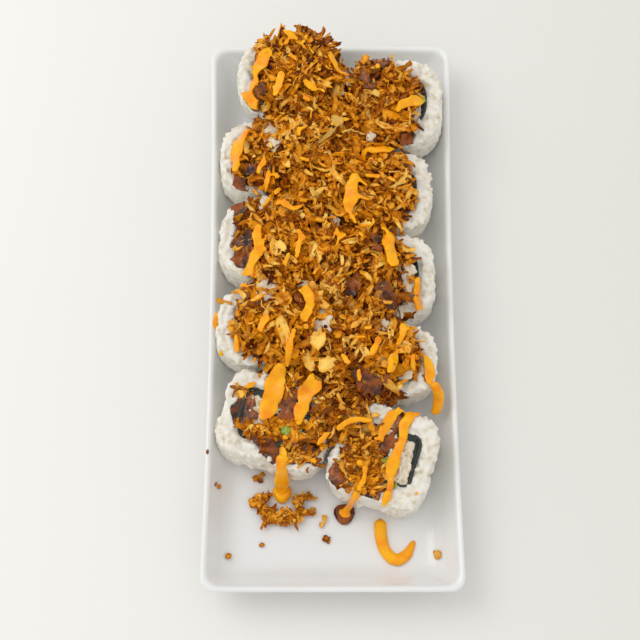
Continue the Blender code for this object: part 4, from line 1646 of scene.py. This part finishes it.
@dataclass
class Clusters:
    """Flakes lying in clusters on the two front slices, and flakes that bridge the gaps between slices.

    A patch is x, y, half x, half y, count and highest stand, and a span has its height over the table last, in mm.
    """

    flattest: float = 0.3
    lowest: float = 20.0
    patches: tuple[tuple[float, float, float, float, int, float], ...] = (
        (-34.0, -61.8, 7.0, 1.6, 10, 1.2), (-20.5, -64.0, 5.0, 3.4, 16, 1.6), (-13.0, -62.5, 4.0, 4.0, 12, 1.2),
        (-8.6, -66.0, 5.0, 4.5, 22, 2.0), (-10.0, -75.0, 5.0, 2.0, 12, 1.4), (-28.5, -67.0, 3.0, 2.6, 8, 1.2),
        (-3.0, -50.0, 5.0, 6.0, 24, 2.2), (9.5, -55.0, 7.0, 4.6, 34, 2.4), (6.0, -63.0, 5.0, 4.5, 22, 2.2),
        (15.5, -62.5, 6.5, 3.6, 30, 3.0), (14.0, -71.0, 7.0, 5.0, 46, 3.2), (8.0, -78.5, 5.0, 4.0, 22, 2.4),
        (17.5, -81.0, 5.0, 5.0, 30, 2.6), (8.5, -86.0, 4.5, 3.0, 16, 1.6), (16.0, -88.0, 5.0, 2.4, 14, 1.6),
        (22.5, -80.0, 2.0, 6.0, 10, 1.6), (-38.0, -45.0, 5.0, 3.0, 10, 1.2), (-34.0, -62.6, 9.0, 1.3, 18, 1.6),
        (-23.0, -61.0, 9.0, 3.6, 26, 1.6), (-6.0, -60.0, 5.5, 6.0, 30, 2.0), (-16.0, -72.0, 7.0, 3.0, 22, 1.4),
        (-19.5, -43.0, 4.0, 5.0, 10, 1.0), (12.0, -76.0, 9.0, 9.0, 46, 3.4),
    )

    spans: tuple[tuple[float, float, float, float, int, float], ...] = (
        (-13.5, -36.8, 8.5, 3.4, 54, 31.5), (-25.0, -36.0, 5.0, 2.6, 18, 30.5), (1.6, -52.0, 3.2, 8.5, 46, 33.2),
        (0.4, -64.0, 2.0, 4.0, 12, 32.6), (2.0, -42.0, 8.0, 4.0, 46, 33.0), (19.0, -47.6, 10.0, 2.4, 34, 32.5),
        (-4.6, -14.0, 4.0, 5.0, 16, 33.0), (-26.0, 1.5, 8.0, 2.6, 20, 33.0), (24.0, -10.5, 9.0, 2.4, 16, 33.0),
    )

    def _bridge(self, swarms: dict[FlakeKind, Swarm], heap: OnionHeap, draw: random.Random) -> None:
        """Flakes lying across the gaps between slices, at the heights given.

        Args:
            swarms: the flakes of each kind so far.
            heap: the heap, which shares out the kinds.
            draw: where the numbers come from.
        """
        for x, y, half_x, half_y, count, level in self.spans:
            for _ in range(count):
                px, py, _ = in_patch(draw, x, y, half_x, half_y)
                spot = Vector((px, py, level + draw.uniform(-2.4, 1.6)))
                facing = (UP * 1.4 + scattered(draw) * 0.4).normalized()
                facing.z = max(facing.z, self.flattest)
                place = placed(spot * MM, facing.normalized(), draw.uniform(0, math.tau), draw.uniform(0.8, 1.1))
                sauce = draw.choice((0.0, 0.0, 0.4, 0.9))
                swarms[heap.kind(draw)].add(draw.randrange(99), place, draw.uniform(0.2, 0.95), 0.0, sauce)

    def add_to(self, swarms: dict[FlakeKind, Swarm], rolls: Surface, heap: OnionHeap, draw: random.Random) -> None:
        """Add every cluster's flakes to the swarms.

        Args:
            swarms: the flakes of each kind so far.
            rolls: what lies under the flakes.
            heap: the heap, which shares out the kinds.
            draw: where the numbers come from.
        """
        self._bridge(swarms, heap, draw)
        for x, y, half_x, half_y, count, top in self.patches:
            for _ in range(count):
                px, py, share = in_patch(draw, x, y, half_x, half_y)
                spot, normal = rolls.under(px * MM, py * MM)
                if spot is None or spot.z < self.lowest * MM:
                    continue
                stand = 0.2 + draw.random() * top * (1.0 - 0.6 * share)
                facing = (normal + UP + scattered(draw) * 0.45).normalized()
                facing.z = max(facing.z, self.flattest)
                inside = near_mayo(px, py, FRONT_MAYO)
                if inside < -0.3 and draw.random() < 0.8:
                    continue
                mayo = max(0.0, min(1.0, 1.0 - inside / 2.5)) * draw.choice((0.0, 0.6, 0.9))
                sauce = draw.choice((0.0, 0.0, 0.0, 0.3, 0.8))
                place = placed(spot + UP * stand * MM, facing.normalized(), draw.uniform(0, math.tau),
                               draw.uniform(0.62, 1.0))
                swarms[heap.kind(draw)].add(draw.randrange(99), place, draw.uniform(0.3, 1.0), mayo, sauce)


# ---------------------------------------------------------------- sauces


@dataclass
class Poured:
    """A sauce poured over what is under it, as routes and round pools, in mm.

    It is a sheet draped over a smoothed copy of what is under it, rounded to its rim, with a body under it.
    """

    name: str
    slot: str
    routes: Sequence[Route] = ()
    hanging: Sequence[Route] = ()
    pools: Sequence[tuple[float, float, float]] = ()
    thickness: float = 1.0
    body: float = 0.9
    ragged: float = 0.7
    cell: float = 0.42
    calm: int = 10
    above: int = 0
    grow: float = 0.0
    seed: int = 7
    lowest: float = 20.0
    nothing: float = -9.0
    edge: float = 8.0
    reach: float = 2.0
    round_over: float = 2.1
    headroom: float = 0.2

    def build(self, under: Surface, look: bpy.types.Material) -> bpy.types.Object:
        """Drape the sauce, give it a body and smooth it.

        Args:
            under: what it lies on.
            look: its material.

        Returns:
            The finished piece.
        """
        draw = random.Random(self.seed)
        stamps = [stamp for half, points in self.routes for stamp in self._stamps(half, points, draw)]
        stamps.extend(self.pools)
        stamps = [(x, y, radius + self.grow) for x, y, radius in stamps]
        xs, ys, depth = self._field(stamps)
        parts = [self._sheet(xs, ys, depth, self._levels(xs, ys, depth, under))]
        if self.hanging:
            parts.append(self._strings())
        piece = gather(self.name, parts)
        ceiling = CAD_BOX[1][2] - self.headroom * MM
        move_points(piece, lambda p: Vector((p.x, p.y, min(p.z, ceiling))))
        turn_outward(piece)
        shade(piece)
        return hand_over(piece, look, self.slot)

    def _even(self, points: Sequence[tuple[float, ...]], step: float) -> list[Vector]:
        """Points at even steps along a route, rounded at its bends.

        Args:
            points: the route's points, in mm.
            step: length of a step, in mm.

        Returns:
            The points.
        """
        spots = [Vector((p[0], p[1], p[2] if len(p) > 2 else 0.0)) for p in points]
        for _ in range(2):
            cut = [spots[0]]
            for first, second in zip(spots, spots[1:]):
                cut.extend((first.lerp(second, 0.25), first.lerp(second, 0.75)))
            spots = cut + [spots[-1]]
        even = []
        for first, second in zip(spots, spots[1:]):
            count = max(1, round((second - first).length / step))
            even.extend(first.lerp(second, i / count) for i in range(count))
        return even + [spots[-1]]

    def _stamps(self, half: float, points: Sequence[tuple[float, ...]], draw: random.Random) -> list[Spot]:
        """Round stamps along a route, with uneven width and drawn-out ends.

        Args:
            half: half width of the route, in mm.
            points: the route's points, in mm.
            draw: where the numbers come from.

        Returns:
            x, y and radius of each stamp.
        """
        spots = self._even(points, 0.5)
        seed = draw.uniform(0, 99)
        tails = (draw.uniform(0.5, 1.0), draw.uniform(0.4, 0.95))
        stamps = []
        for index, spot in enumerate(spots):
            swell = 1.0 + 0.42 * noise.noise(Vector((index * 0.11, seed, 0)))
            for tail, end in zip(tails, (index, len(spots) - 1 - index)):
                swell *= min(1.0, tail + end * 0.5 / half * (1.0 - tail) * 0.8)
            side = Vector([noise.noise(Vector((index * 0.08, seed, layer))) for layer in (5, 9)]) * 1.3
            stamps.append((spot.x + side.x, spot.y + side.y, half * swell))
        return stamps

    def _field(self, stamps: Sequence[Spot]) -> tuple[np.ndarray, np.ndarray, np.ndarray]:
        """Grid lines and the depth inside the sauce's outline at each point, in mm.

        Args:
            stamps: x, y and radius of each stamp, in mm.

        Returns:
            x of the columns, y of the rows, and the depth at each point.
        """
        spots = np.array(stamps)
        low, high = spots[:, :2].min(0) - self.edge, spots[:, :2].max(0) + self.edge
        xs, ys = np.arange(low[0], high[0], self.cell), np.arange(low[1], high[1], self.cell)
        depth = np.full((len(ys), len(xs)), self.nothing)
        for x, y, radius in stamps:
            wide = radius + self.reach + 0.5
            i0, i1 = np.searchsorted(xs, (x - wide, x + wide))
            j0, j1 = np.searchsorted(ys, (y - wide, y + wide))
            inside = radius - np.hypot(xs[None, i0:i1] - x, ys[j0:j1, None] - y)
            depth[j0:j1, i0:i1] = np.maximum(depth[j0:j1, i0:i1], inside)
        for j, i in zip(*np.nonzero(depth > -self.reach)):
            spot = Vector((xs[i], ys[j], self.seed * 3.0))
            depth[j, i] += self.ragged * (noise.noise(spot * 0.4) + 0.7 * noise.noise(spot * 1.0))
        return xs, ys, depth

    def _levels(self, xs: np.ndarray, ys: np.ndarray, depth: np.ndarray, under: Surface) -> np.ndarray:
        """Calmed height of what is under the sauce at each grid point, in mm.

        Args:
            xs: x of the columns.
            ys: y of the rows.
            depth: depth inside the outline, cut off where nothing lies below.
            under: what the sauce lies on.

        Returns:
            The heights.
        """
        level, known = np.zeros_like(depth), np.zeros_like(depth)
        for j, i in zip(*np.nonzero(depth > -self.reach)):
            height = under.height(xs[i] * MM, ys[j] * MM, -1.0) / MM
            if height > self.lowest:
                level[j, i], known[j, i] = height, 1.0
        for _ in range(self.above):
            for axis in (0, 1):
                raised = np.maximum(level, np.maximum(np.roll(level, 1, axis), np.roll(level, -1, axis)))
                level = np.where(known > 0.0, raised, level)
        for _ in range(self.calm):
            for grid in (level, known):
                for axis in (0, 1):
                    grid[:] = grid * 0.5 + (np.roll(grid, 1, axis) + np.roll(grid, -1, axis)) * 0.25
        depth[known < 0.3] = self.nothing
        return level / np.maximum(known, 0.001)

    def _sheet(self, xs: np.ndarray, ys: np.ndarray, depth: np.ndarray, level: np.ndarray) -> bpy.types.Object:
        """The draped sheet with its body.

        Args:
            xs: x of the columns.
            ys: y of the rows.
            depth: depth inside the outline at each point.
            level: height under the sauce at each point.

        Returns:
            The sheet as one piece.
        """
        rest()
        bpy.ops.mesh.primitive_grid_add(x_subdivisions=len(xs) - 1, y_subdivisions=len(ys) - 1, size=2.0,
                                        location=(0, 0, 0))
        sheet = bpy.context.object
        count = len(sheet.data.vertices)
        flat = np.empty(count * 3)
        sheet.data.vertices.foreach_get("co", flat)
        share = (flat.reshape(-1, 3)[:, :2] + 1.0) / 2.0
        i = np.rint(share[:, 0] * (len(xs) - 1)).astype(int)
        j = np.rint(share[:, 1] * (len(ys) - 1)).astype(int)
        dome = np.sqrt(1.0 - (1.0 - np.clip(depth[j, i] / self.round_over, 0.0, 1.0)) ** 2)
        points = np.stack([xs[i], ys[j], level[j, i] + self.thickness * dome], axis=1) * MM
        sheet.data.vertices.foreach_set("co", points.ravel())
        outside = depth[j, i] < 0.0
        sheet.data.polygons.foreach_set("select", np.zeros(len(sheet.data.polygons), bool))
        sheet.data.edges.foreach_set("select", np.zeros(len(sheet.data.edges), bool))
        sheet.data.vertices.foreach_set("select", outside)
        sheet.data.update()
        bpy.ops.object.mode_set(mode="EDIT")
        bpy.ops.mesh.select_mode(type="VERT")
        bpy.ops.mesh.delete(type="VERT")
        bpy.ops.mesh.select_all(action="SELECT")
        bpy.ops.mesh.vertices_smooth(factor=0.5, repeat=9)
        bpy.ops.object.mode_set(mode="OBJECT")
        finish_modifier(sheet, "SOLIDIFY", thickness=self.body * MM, offset=-1.0)
        finish_modifier(sheet, "SMOOTH", factor=0.4, iterations=2)
        return sheet

    def _strings(self) -> bpy.types.Object:
        """Drips that hang down a wall, at the heights given.

        Returns:
            The drips as one piece.
        """
        rest()
        bpy.ops.mesh.primitive_ico_sphere_add(subdivisions=3, radius=1.0, location=(0, 0, 0))
        swarm = Swarm(self.name + "_drips", [Template.of(bpy.context.object)])
        for half, points in self.hanging:
            for index, spot in enumerate(self._even(points, 0.35)):
                wide = half * (1.0 + 0.3 * noise.noise(Vector((index * 0.03, half, 3.0))))
                size = Matrix.Diagonal((wide * MM, wide * 0.7 * MM, wide * 0.8 * MM, 1.0))
                swarm.add(0, Matrix.Translation(spot * MM) @ size)
        drips = swarm.build()
        for key in MARKS:
            drips.data.attributes.remove(drips.data.attributes[key])
        remesh(drips, 0.36, 9)
        return drips


# ---------------------------------------------------------------- small bits


@dataclass
class HeapBits:
    """Rice, crab and cucumber that show between the flakes."""

    seed: int = 41
    rice_sink: float = -0.35
    green_sink: float = -1.2

    def _lump(self, name: str, grain: Template, spots: Sequence[Spot], under: Surface, sink: float) -> bpy.types.Object:
        """Small melted lumps at some spots.

        Args:
            name: the piece's name.
            grain: unit grain that the lumps are packed from.
            spots: x, y and radius of each lump in mm.
            under: what they lie on.
            sink: how far they are sunk in, in mm, below 0 where they stand up.

        Returns:
            The lumps as one piece.
        """
        draw = random.Random(self.seed)
        swarm = Swarm(name, [grain])
        for x, y, radius in spots:
            level = under.height(x * MM, y * MM) / MM - sink
            for _ in range(int(radius * 5)):
                px, py, share = in_patch(draw, x, y, radius, radius)
                spot = Vector((px, py, level + draw.uniform(0, 0.9) - share * 0.6))
                size = Vector((3.0 * min(1.0, radius / 2.4), 1.5, 0.9)) * draw.uniform(0.8, 1.1)
                lean = Vector((draw.uniform(-0.3, 0.3), draw.uniform(-0.3, 0.3), 1.0)).normalized()
                swarm.add(0, placed(spot * MM, lean, draw.uniform(0, math.pi), size * MM))
        piece = swarm.build()
        remesh(piece, 0.4, 7)
        shade(piece)
        return piece

    def build(self, grain: Template, under: Surface, looks: Looks) -> None:
        """Pale lumps and green bits.

        Args:
            grain: unit grain that the lumps are packed from.
            under: what they lie on.
            looks: the finishes by name.
        """
        rice = self._lump("heap_rice_lumps", grain, PALE_PATCHES, under, self.rice_sink)
        hand_over(rice, looks["crab"], "rice")
        green = self._lump("green_bits", grain, GREEN_BITS, under, self.green_sink)
        hand_over(green, looks["cucumber"], None)


@dataclass
class FrontBits:
    """Mayo hook, mayo blob, sauce drop and onion clump on the bare end of the plate."""

    seed: int = 17
    flakes: int = 120
    flattest: float = 0.3
    soft_foot: float = 1.2
    press: float = 0.34
    core_marks: tuple[float, float, float, float] = (0.3, 0.4, 0.0, 0.2)

    def build(self, looks: Looks, stock: Stock) -> None:
        """Make every bit from its own node's form.

        Args:
            looks: the finishes by name.
            stock: the flake templates.
        """
        for node, name, look, slot in (
            ("mayo_hook", "plate_mayo_hook", "mayo", "mayo"),
            ("mayo_blob", "plate_mayo_blob", "mayo", "mayo"),
            ("sauce_drop", "plate_sauce_drop", "dark_sauce", "dark_sauce"),
        ):
            piece = merged_copy(node, name)
            remesh(piece, 0.22, 6)
            self._seat(piece)
            shade(piece)
            hand_over(piece, looks[look], slot, node)
        clump = merged_copy("front_onions", "plate_onion_core")
        remesh(clump, 0.35, 1)
        move_points(clump, lambda p: p + UP * (wobble(p, 0.0012, 4.0) * 0.5 - 0.35) * MM)
        self._seat(clump)
        self._mark(clump)
        shade(clump)
        hand_over(clump, looks["fried_onion"], "fried_onion", "front_onions")
        self._clump_flakes(stock, looks["fried_onion"])

    def _seat(self, piece: bpy.types.Object) -> None:
        """Press the foot of a bit down to the glaze under it.

        Args:
            piece: the bit.
        """
        low = min(vertex.co.z for vertex in piece.data.vertices)

        def lowered(point: Vector) -> Vector:
            share = max(0.0, 1.0 - (point.z - low) / (self.soft_foot * MM))
            point.z -= share * self.press * MM
            return point

        move_points(piece, lowered)

    def _mark(self, piece: bpy.types.Object) -> None:
        """Give a piece the marks that the onion finish reads.

        Args:
            piece: the clump.
        """
        for key, value in zip(MARKS, self.core_marks):
            write_mark(piece, key, np.full(len(piece.data.vertices), value))

    def _clump_flakes(self, stock: Stock, look: bpy.types.Material) -> None:
        """Crisp flakes over the clump.

        Args:
            stock: the flake templates.
            look: the onion material.
        """
        draw = random.Random(self.seed)
        clump = Surface(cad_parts["front_onions"])
        low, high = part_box("front_onions")
        shapes = stock[CHIP] + stock[RIBBON] + stock[CRUMB]
        swarm = Swarm("plate_onion_flakes", shapes, FLAKE_CREASE)
        made = 0
        while made < self.flakes:
            x, y = draw.uniform(low.x, high.x), draw.uniform(low.y, high.y)
            spot, normal = clump.under(x, y)
            if spot is None:
                continue
            made += 1
            facing = (normal + UP + scattered(draw) * 0.5).normalized()
            facing.z = max(facing.z, self.flattest)
            place = placed(spot + UP * draw.uniform(-0.1, 0.6) * MM, facing.normalized(), draw.uniform(0, math.tau),
                           draw.uniform(0.42, 0.7))
            swarm.add(draw.randrange(99), place, draw.uniform(0.35, 0.95), 0.0, draw.choice((0.0, 0.2, 0.6)))
        hand_over(swarm.build(), look, "fried_onion")


@dataclass
class LongFlakes:
    """The largest flakes, each in its own place: x, y and length in mm, turn in degrees, tone and kind."""

    seed: int = 61
    lowest: float = 30.0
    chip_stand: float = 0.9
    stand: float = 0.3
    places: tuple[tuple[float, float, float, float, float, FlakeKind], ...] = (
        (-6.8, 14.2, 6.4, -61.0, 1.00, CHIP), (-1.9, -35.2, 9.0, -13.0, 0.95, CHIP),
        (-17.9, 35.9, 10.5, -13.0, 1.10, STRIP), (-16.0, 78.4, 7.4, 43.0, 0.95, STRIP),
        (2.6, 89.4, 9.5, -74.0, 0.90, STRIP), (-19.7, 89.6, 10.2, 27.0, 0.85, STRIP),
        (-7.9, 16.6, 10.5, -80.0, 0.90, RIBBON), (7.1, 11.9, 9.2, 67.0, 1.00, STRIP),
        (-20.6, -5.2, 12.7, -82.0, 0.95, STRIP), (-6.2, -3.5, 14.4, -65.0, 0.95, RIBBON),
        (-20.9, -22.0, 16.4, -71.0, 0.95, RIBBON), (-23.8, 18.2, 7.0, 28.0, 1.00, CHIP),
        (-6.2, -25.0, 7.2, -4.0, 0.98, CHIP), (15.2, 29.9, 5.4, -10.0, 1.10, CHIP),
        (2.6, 80.4, 6.2, -29.0, 1.05, CHIP), (23.7, 78.8, 8.6, -28.0, 1.00, RIBBON),
        (-18.6, 111.5, 8.9, -10.0, 0.95, CHIP), (1.3, 97.5, 8.0, -63.0, 0.90, CHIP),
        (-47.5, -4.4, 7.7, -11.0, 0.75, STRIP), (5.8, -53.5, 10.3, -60.0, 1.00, STRIP),
        (21.4, -6.7, 10.0, -16.0, 0.90, STRIP), (-10.7, -32.0, 12.0, -71.0, 0.95, STRIP),
        (4.8, -39.7, 7.6, 14.0, 0.90, RIBBON), (21.0, -42.1, 18.6, -29.0, 0.90, STRIP),
        (4.9, -60.8, 6.9, 0.0, 0.80, RIBBON), (-35.2, -61.0, 15.1, 5.0, 0.60, STRIP),
    )

    def build(self, stock: Stock, under: Surface, look: bpy.types.Material) -> bpy.types.Object:
        """Lay every long flake over what is under it.

        Args:
            stock: the flake templates.
            under: what they lie on.
            look: the onion material.

        Returns:
            All of them as one piece.
        """
        draw = random.Random(self.seed)
        swarm = Swarm("onion_long_flakes", shape_list(stock), FLAKE_CREASE)
        for index, (x, y, length, turn, tone, kind) in enumerate(self.places):
            number = shape_number(stock, kind, index)
            along = Vector((math.cos(math.radians(turn)), math.sin(math.radians(turn)), 0.0)) * length * 0.3
            levels = sorted(under.height((x + along.x * step) * MM, (y + along.y * step) * MM) for step in (-1, 0, 1))
            rise = self.chip_stand if kind is CHIP else self.stand
            spot = Vector((x * MM, y * MM, max(levels[1], self.lowest * MM) + rise * MM))
            facing = (UP * 2.5 + scattered(draw) * 0.3).normalized()
            scale = length * MM / float(np.ptp(swarm.shapes[number].verts[:, 0]))
            place = placed(spot, facing, math.radians(turn), scale)
            place.translation -= swarm.excess(number, place)
            swarm.add(number, place, tone, 0.0, draw.choice((0.0, 0.0, 0.3)))
        return hand_over(swarm.build(), look, "fried_onion")


@dataclass
class Crumbs:
    """Loose crumbs on the plate, its rim and the rice: x, y in mm, size, turn in degrees, tone, mayo and kind."""

    sunk: float = 0.1
    sauce: float = 0.2
    places: tuple[tuple[float, float, float, float, float, float, FlakeKind], ...] = (
        (-49.2, -82.8, 1.2, 20.0, 0.65, 0.0, CRUMB), (-50.8, -82.2, 0.8, 70.0, 0.45, 0.0, CRUMB),
        (-45.0, -112.5, 1.3, 40.0, 0.7, 0.0, CRUMB), (-30.7, -107.3, 1.0, 10.0, 0.55, 0.0, CRUMB),
        (-4.0, -97.1, 0.62, 70.0, 0.95, 0.3, RIBBON), (-4.6, -98.4, 0.9, 60.0, 0.6, 0.0, CRUMB),
        (-2.6, -104.4, 1.2, 15.0, 0.3, 0.0, CRUMB), (-1.6, -105.4, 1.1, 85.0, 0.5, 0.0, CRUMB),
        (45.7, -112.2, 0.95, 60.0, 0.85, 0.0, CHIP), (44.6, -110.8, 0.9, 120.0, 0.6, 0.0, CRUMB),
        (-54.4, -68.9, 0.8, 80.0, 0.3, 0.0, CRUMB), (-33.6, -77.6, 1.3, 50.0, 0.55, 0.0, CRUMB),
        (-31.8, -78.4, 1.2, 140.0, 0.35, 0.0, CRUMB), (-32.6, -76.6, 0.6, 20.0, 0.7, 0.0, RIBBON),
    )

    def build(self, stock: Stock, under: Surface, look: bpy.types.Material) -> bpy.types.Object:
        """Lay every crumb on what is under it.

        Args:
            stock: the flake templates.
            under: what they lie on.
            look: the onion material.

        Returns:
            All of them as one piece.
        """
        swarm = Swarm("crumbs", shape_list(stock), FLAKE_CREASE)
        for index, (x, y, size, turn, tone, mayo, kind) in enumerate(self.places):
            spot, normal = under.under(x * MM, y * MM)
            number = shape_number(stock, kind, index)
            place = placed(Vector(), normal, math.radians(turn), size)
            reach = (swarm.shapes[number].verts @ np.array(place.to_3x3()).T)[:, 2].min()
            place.translation = spot - UP * (float(reach) + self.sunk * MM)
            swarm.add(number, place, tone, mayo, self.sauce)
        return hand_over(swarm.build(), look, "fried_onion")


# ---------------------------------------------------------------- all together


@dataclass(frozen=True)
class HeapDabs:
    """Small dabs of mayo all over the heap, each a short row of round stamps, in mm."""

    seed: int = 53
    count: int = 70
    across: tuple[float, float] = (-38.0, 36.0)
    along: tuple[float, float] = (-40.0, 122.0)
    radius: tuple[float, float] = (0.6, 1.35)
    longest: int = 7
    step: float = 0.9

    def spots(self) -> list[Spot]:
        """Places and radii of the stamps.

        Returns:
            x, y and radius of each.
        """
        draw = random.Random(self.seed)
        dabs = []
        for _ in range(self.count):
            x, y, turn = draw.uniform(*self.across), draw.uniform(*self.along), draw.uniform(0, math.tau)
            radius, length = draw.uniform(*self.radius), draw.randrange(1, self.longest)
            ahead, up = math.cos(turn) * self.step, math.sin(turn) * self.step
            dabs.extend((x + ahead * number, y + up * number, radius) for number in range(length))
        return dabs


def grain_template() -> Template:
    """One grain of unit size, a little bent.

    Returns:
        The grain as a template.
    """
    rest()
    bpy.ops.mesh.primitive_ico_sphere_add(subdivisions=2, radius=1.0, location=(0, 0, 0))
    grain = bpy.context.object
    move_points(grain, lambda p: Vector((p.x, p.y * (1.0 - 0.18 * p.x ** 2) + 0.12 * p.x ** 2, p.z)))
    return Template.of(grain)


def main() -> None:
    """Build the dressed part in order and report each piece."""
    logging.basicConfig(level=logging.INFO, format="%(name)s: %(message)s", stream=sys.stdout)
    Studio().build()
    looks = {finish.name: finish.make() for finish in FINISHES}
    looks["fried_onion"] = FriedOnion().make()
    plate = Plate().build(looks["porcelain"])
    plate_top = Surface(plate)
    grain = grain_template()
    rice = [each.build_rice(grain, plate_top, looks["rice"]) for each in SLICES]
    for each in SLICES:
        each.build_seaweed(looks["seaweed"])
        each.build_fillings(looks)
    words = ("_rice", "crab", "cucumber", "avocado")
    faces = [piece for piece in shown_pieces() if any(word in piece.name for word in words)]
    rolls = Surface(*faces)
    heap = OnionHeap()
    core = heap.build_core(looks["heap_depths"])
    stock = FlakeShop().stock(list(FlakeKind))
    flakes = heap.scatter(stock, rolls, Clusters(), looks["fried_onion"])
    bed = Surface(core, *faces)
    top = Surface(core, *faces, *flakes)
    for sauce, under in (
        (Poured("heap_mayo", "mayo", HEAP_MAYO, (), HeapDabs().spots(), 1.2, 1.2, 0.5, calm=14, above=2, grow=0.4,
                seed=7), top),
        (Poured("front_mayo", "mayo", FRONT_MAYO, HANGING_MAYO, FRONT_DABS, 1.5, 1.0, 0.45, calm=22, above=1, grow=0.25,
                seed=9), top),
        (Poured("heap_sauce", "dark_sauce", (), (), HEAP_POOLS, 0.25, 1.2, 1.7, above=1, grow=0.9, seed=11), top),
        (Poured("front_sauce", "dark_sauce", (), (), FRONT_POOLS, 0.8, 0.7, 0.9, calm=6, grow=1.4, seed=13), bed),
    ):
        sauce.build(under, looks[sauce.slot])
    HeapBits().build(grain, bed, looks)
    LongFlakes().build(stock, top, looks["fried_onion"])
    FrontBits().build(looks, stock)
    Crumbs().build(stock, Surface(plate, *rice), looks["fried_onion"])
    rest()
    LOG.info("all pieces made")


if __name__ == "__main__":
    main()
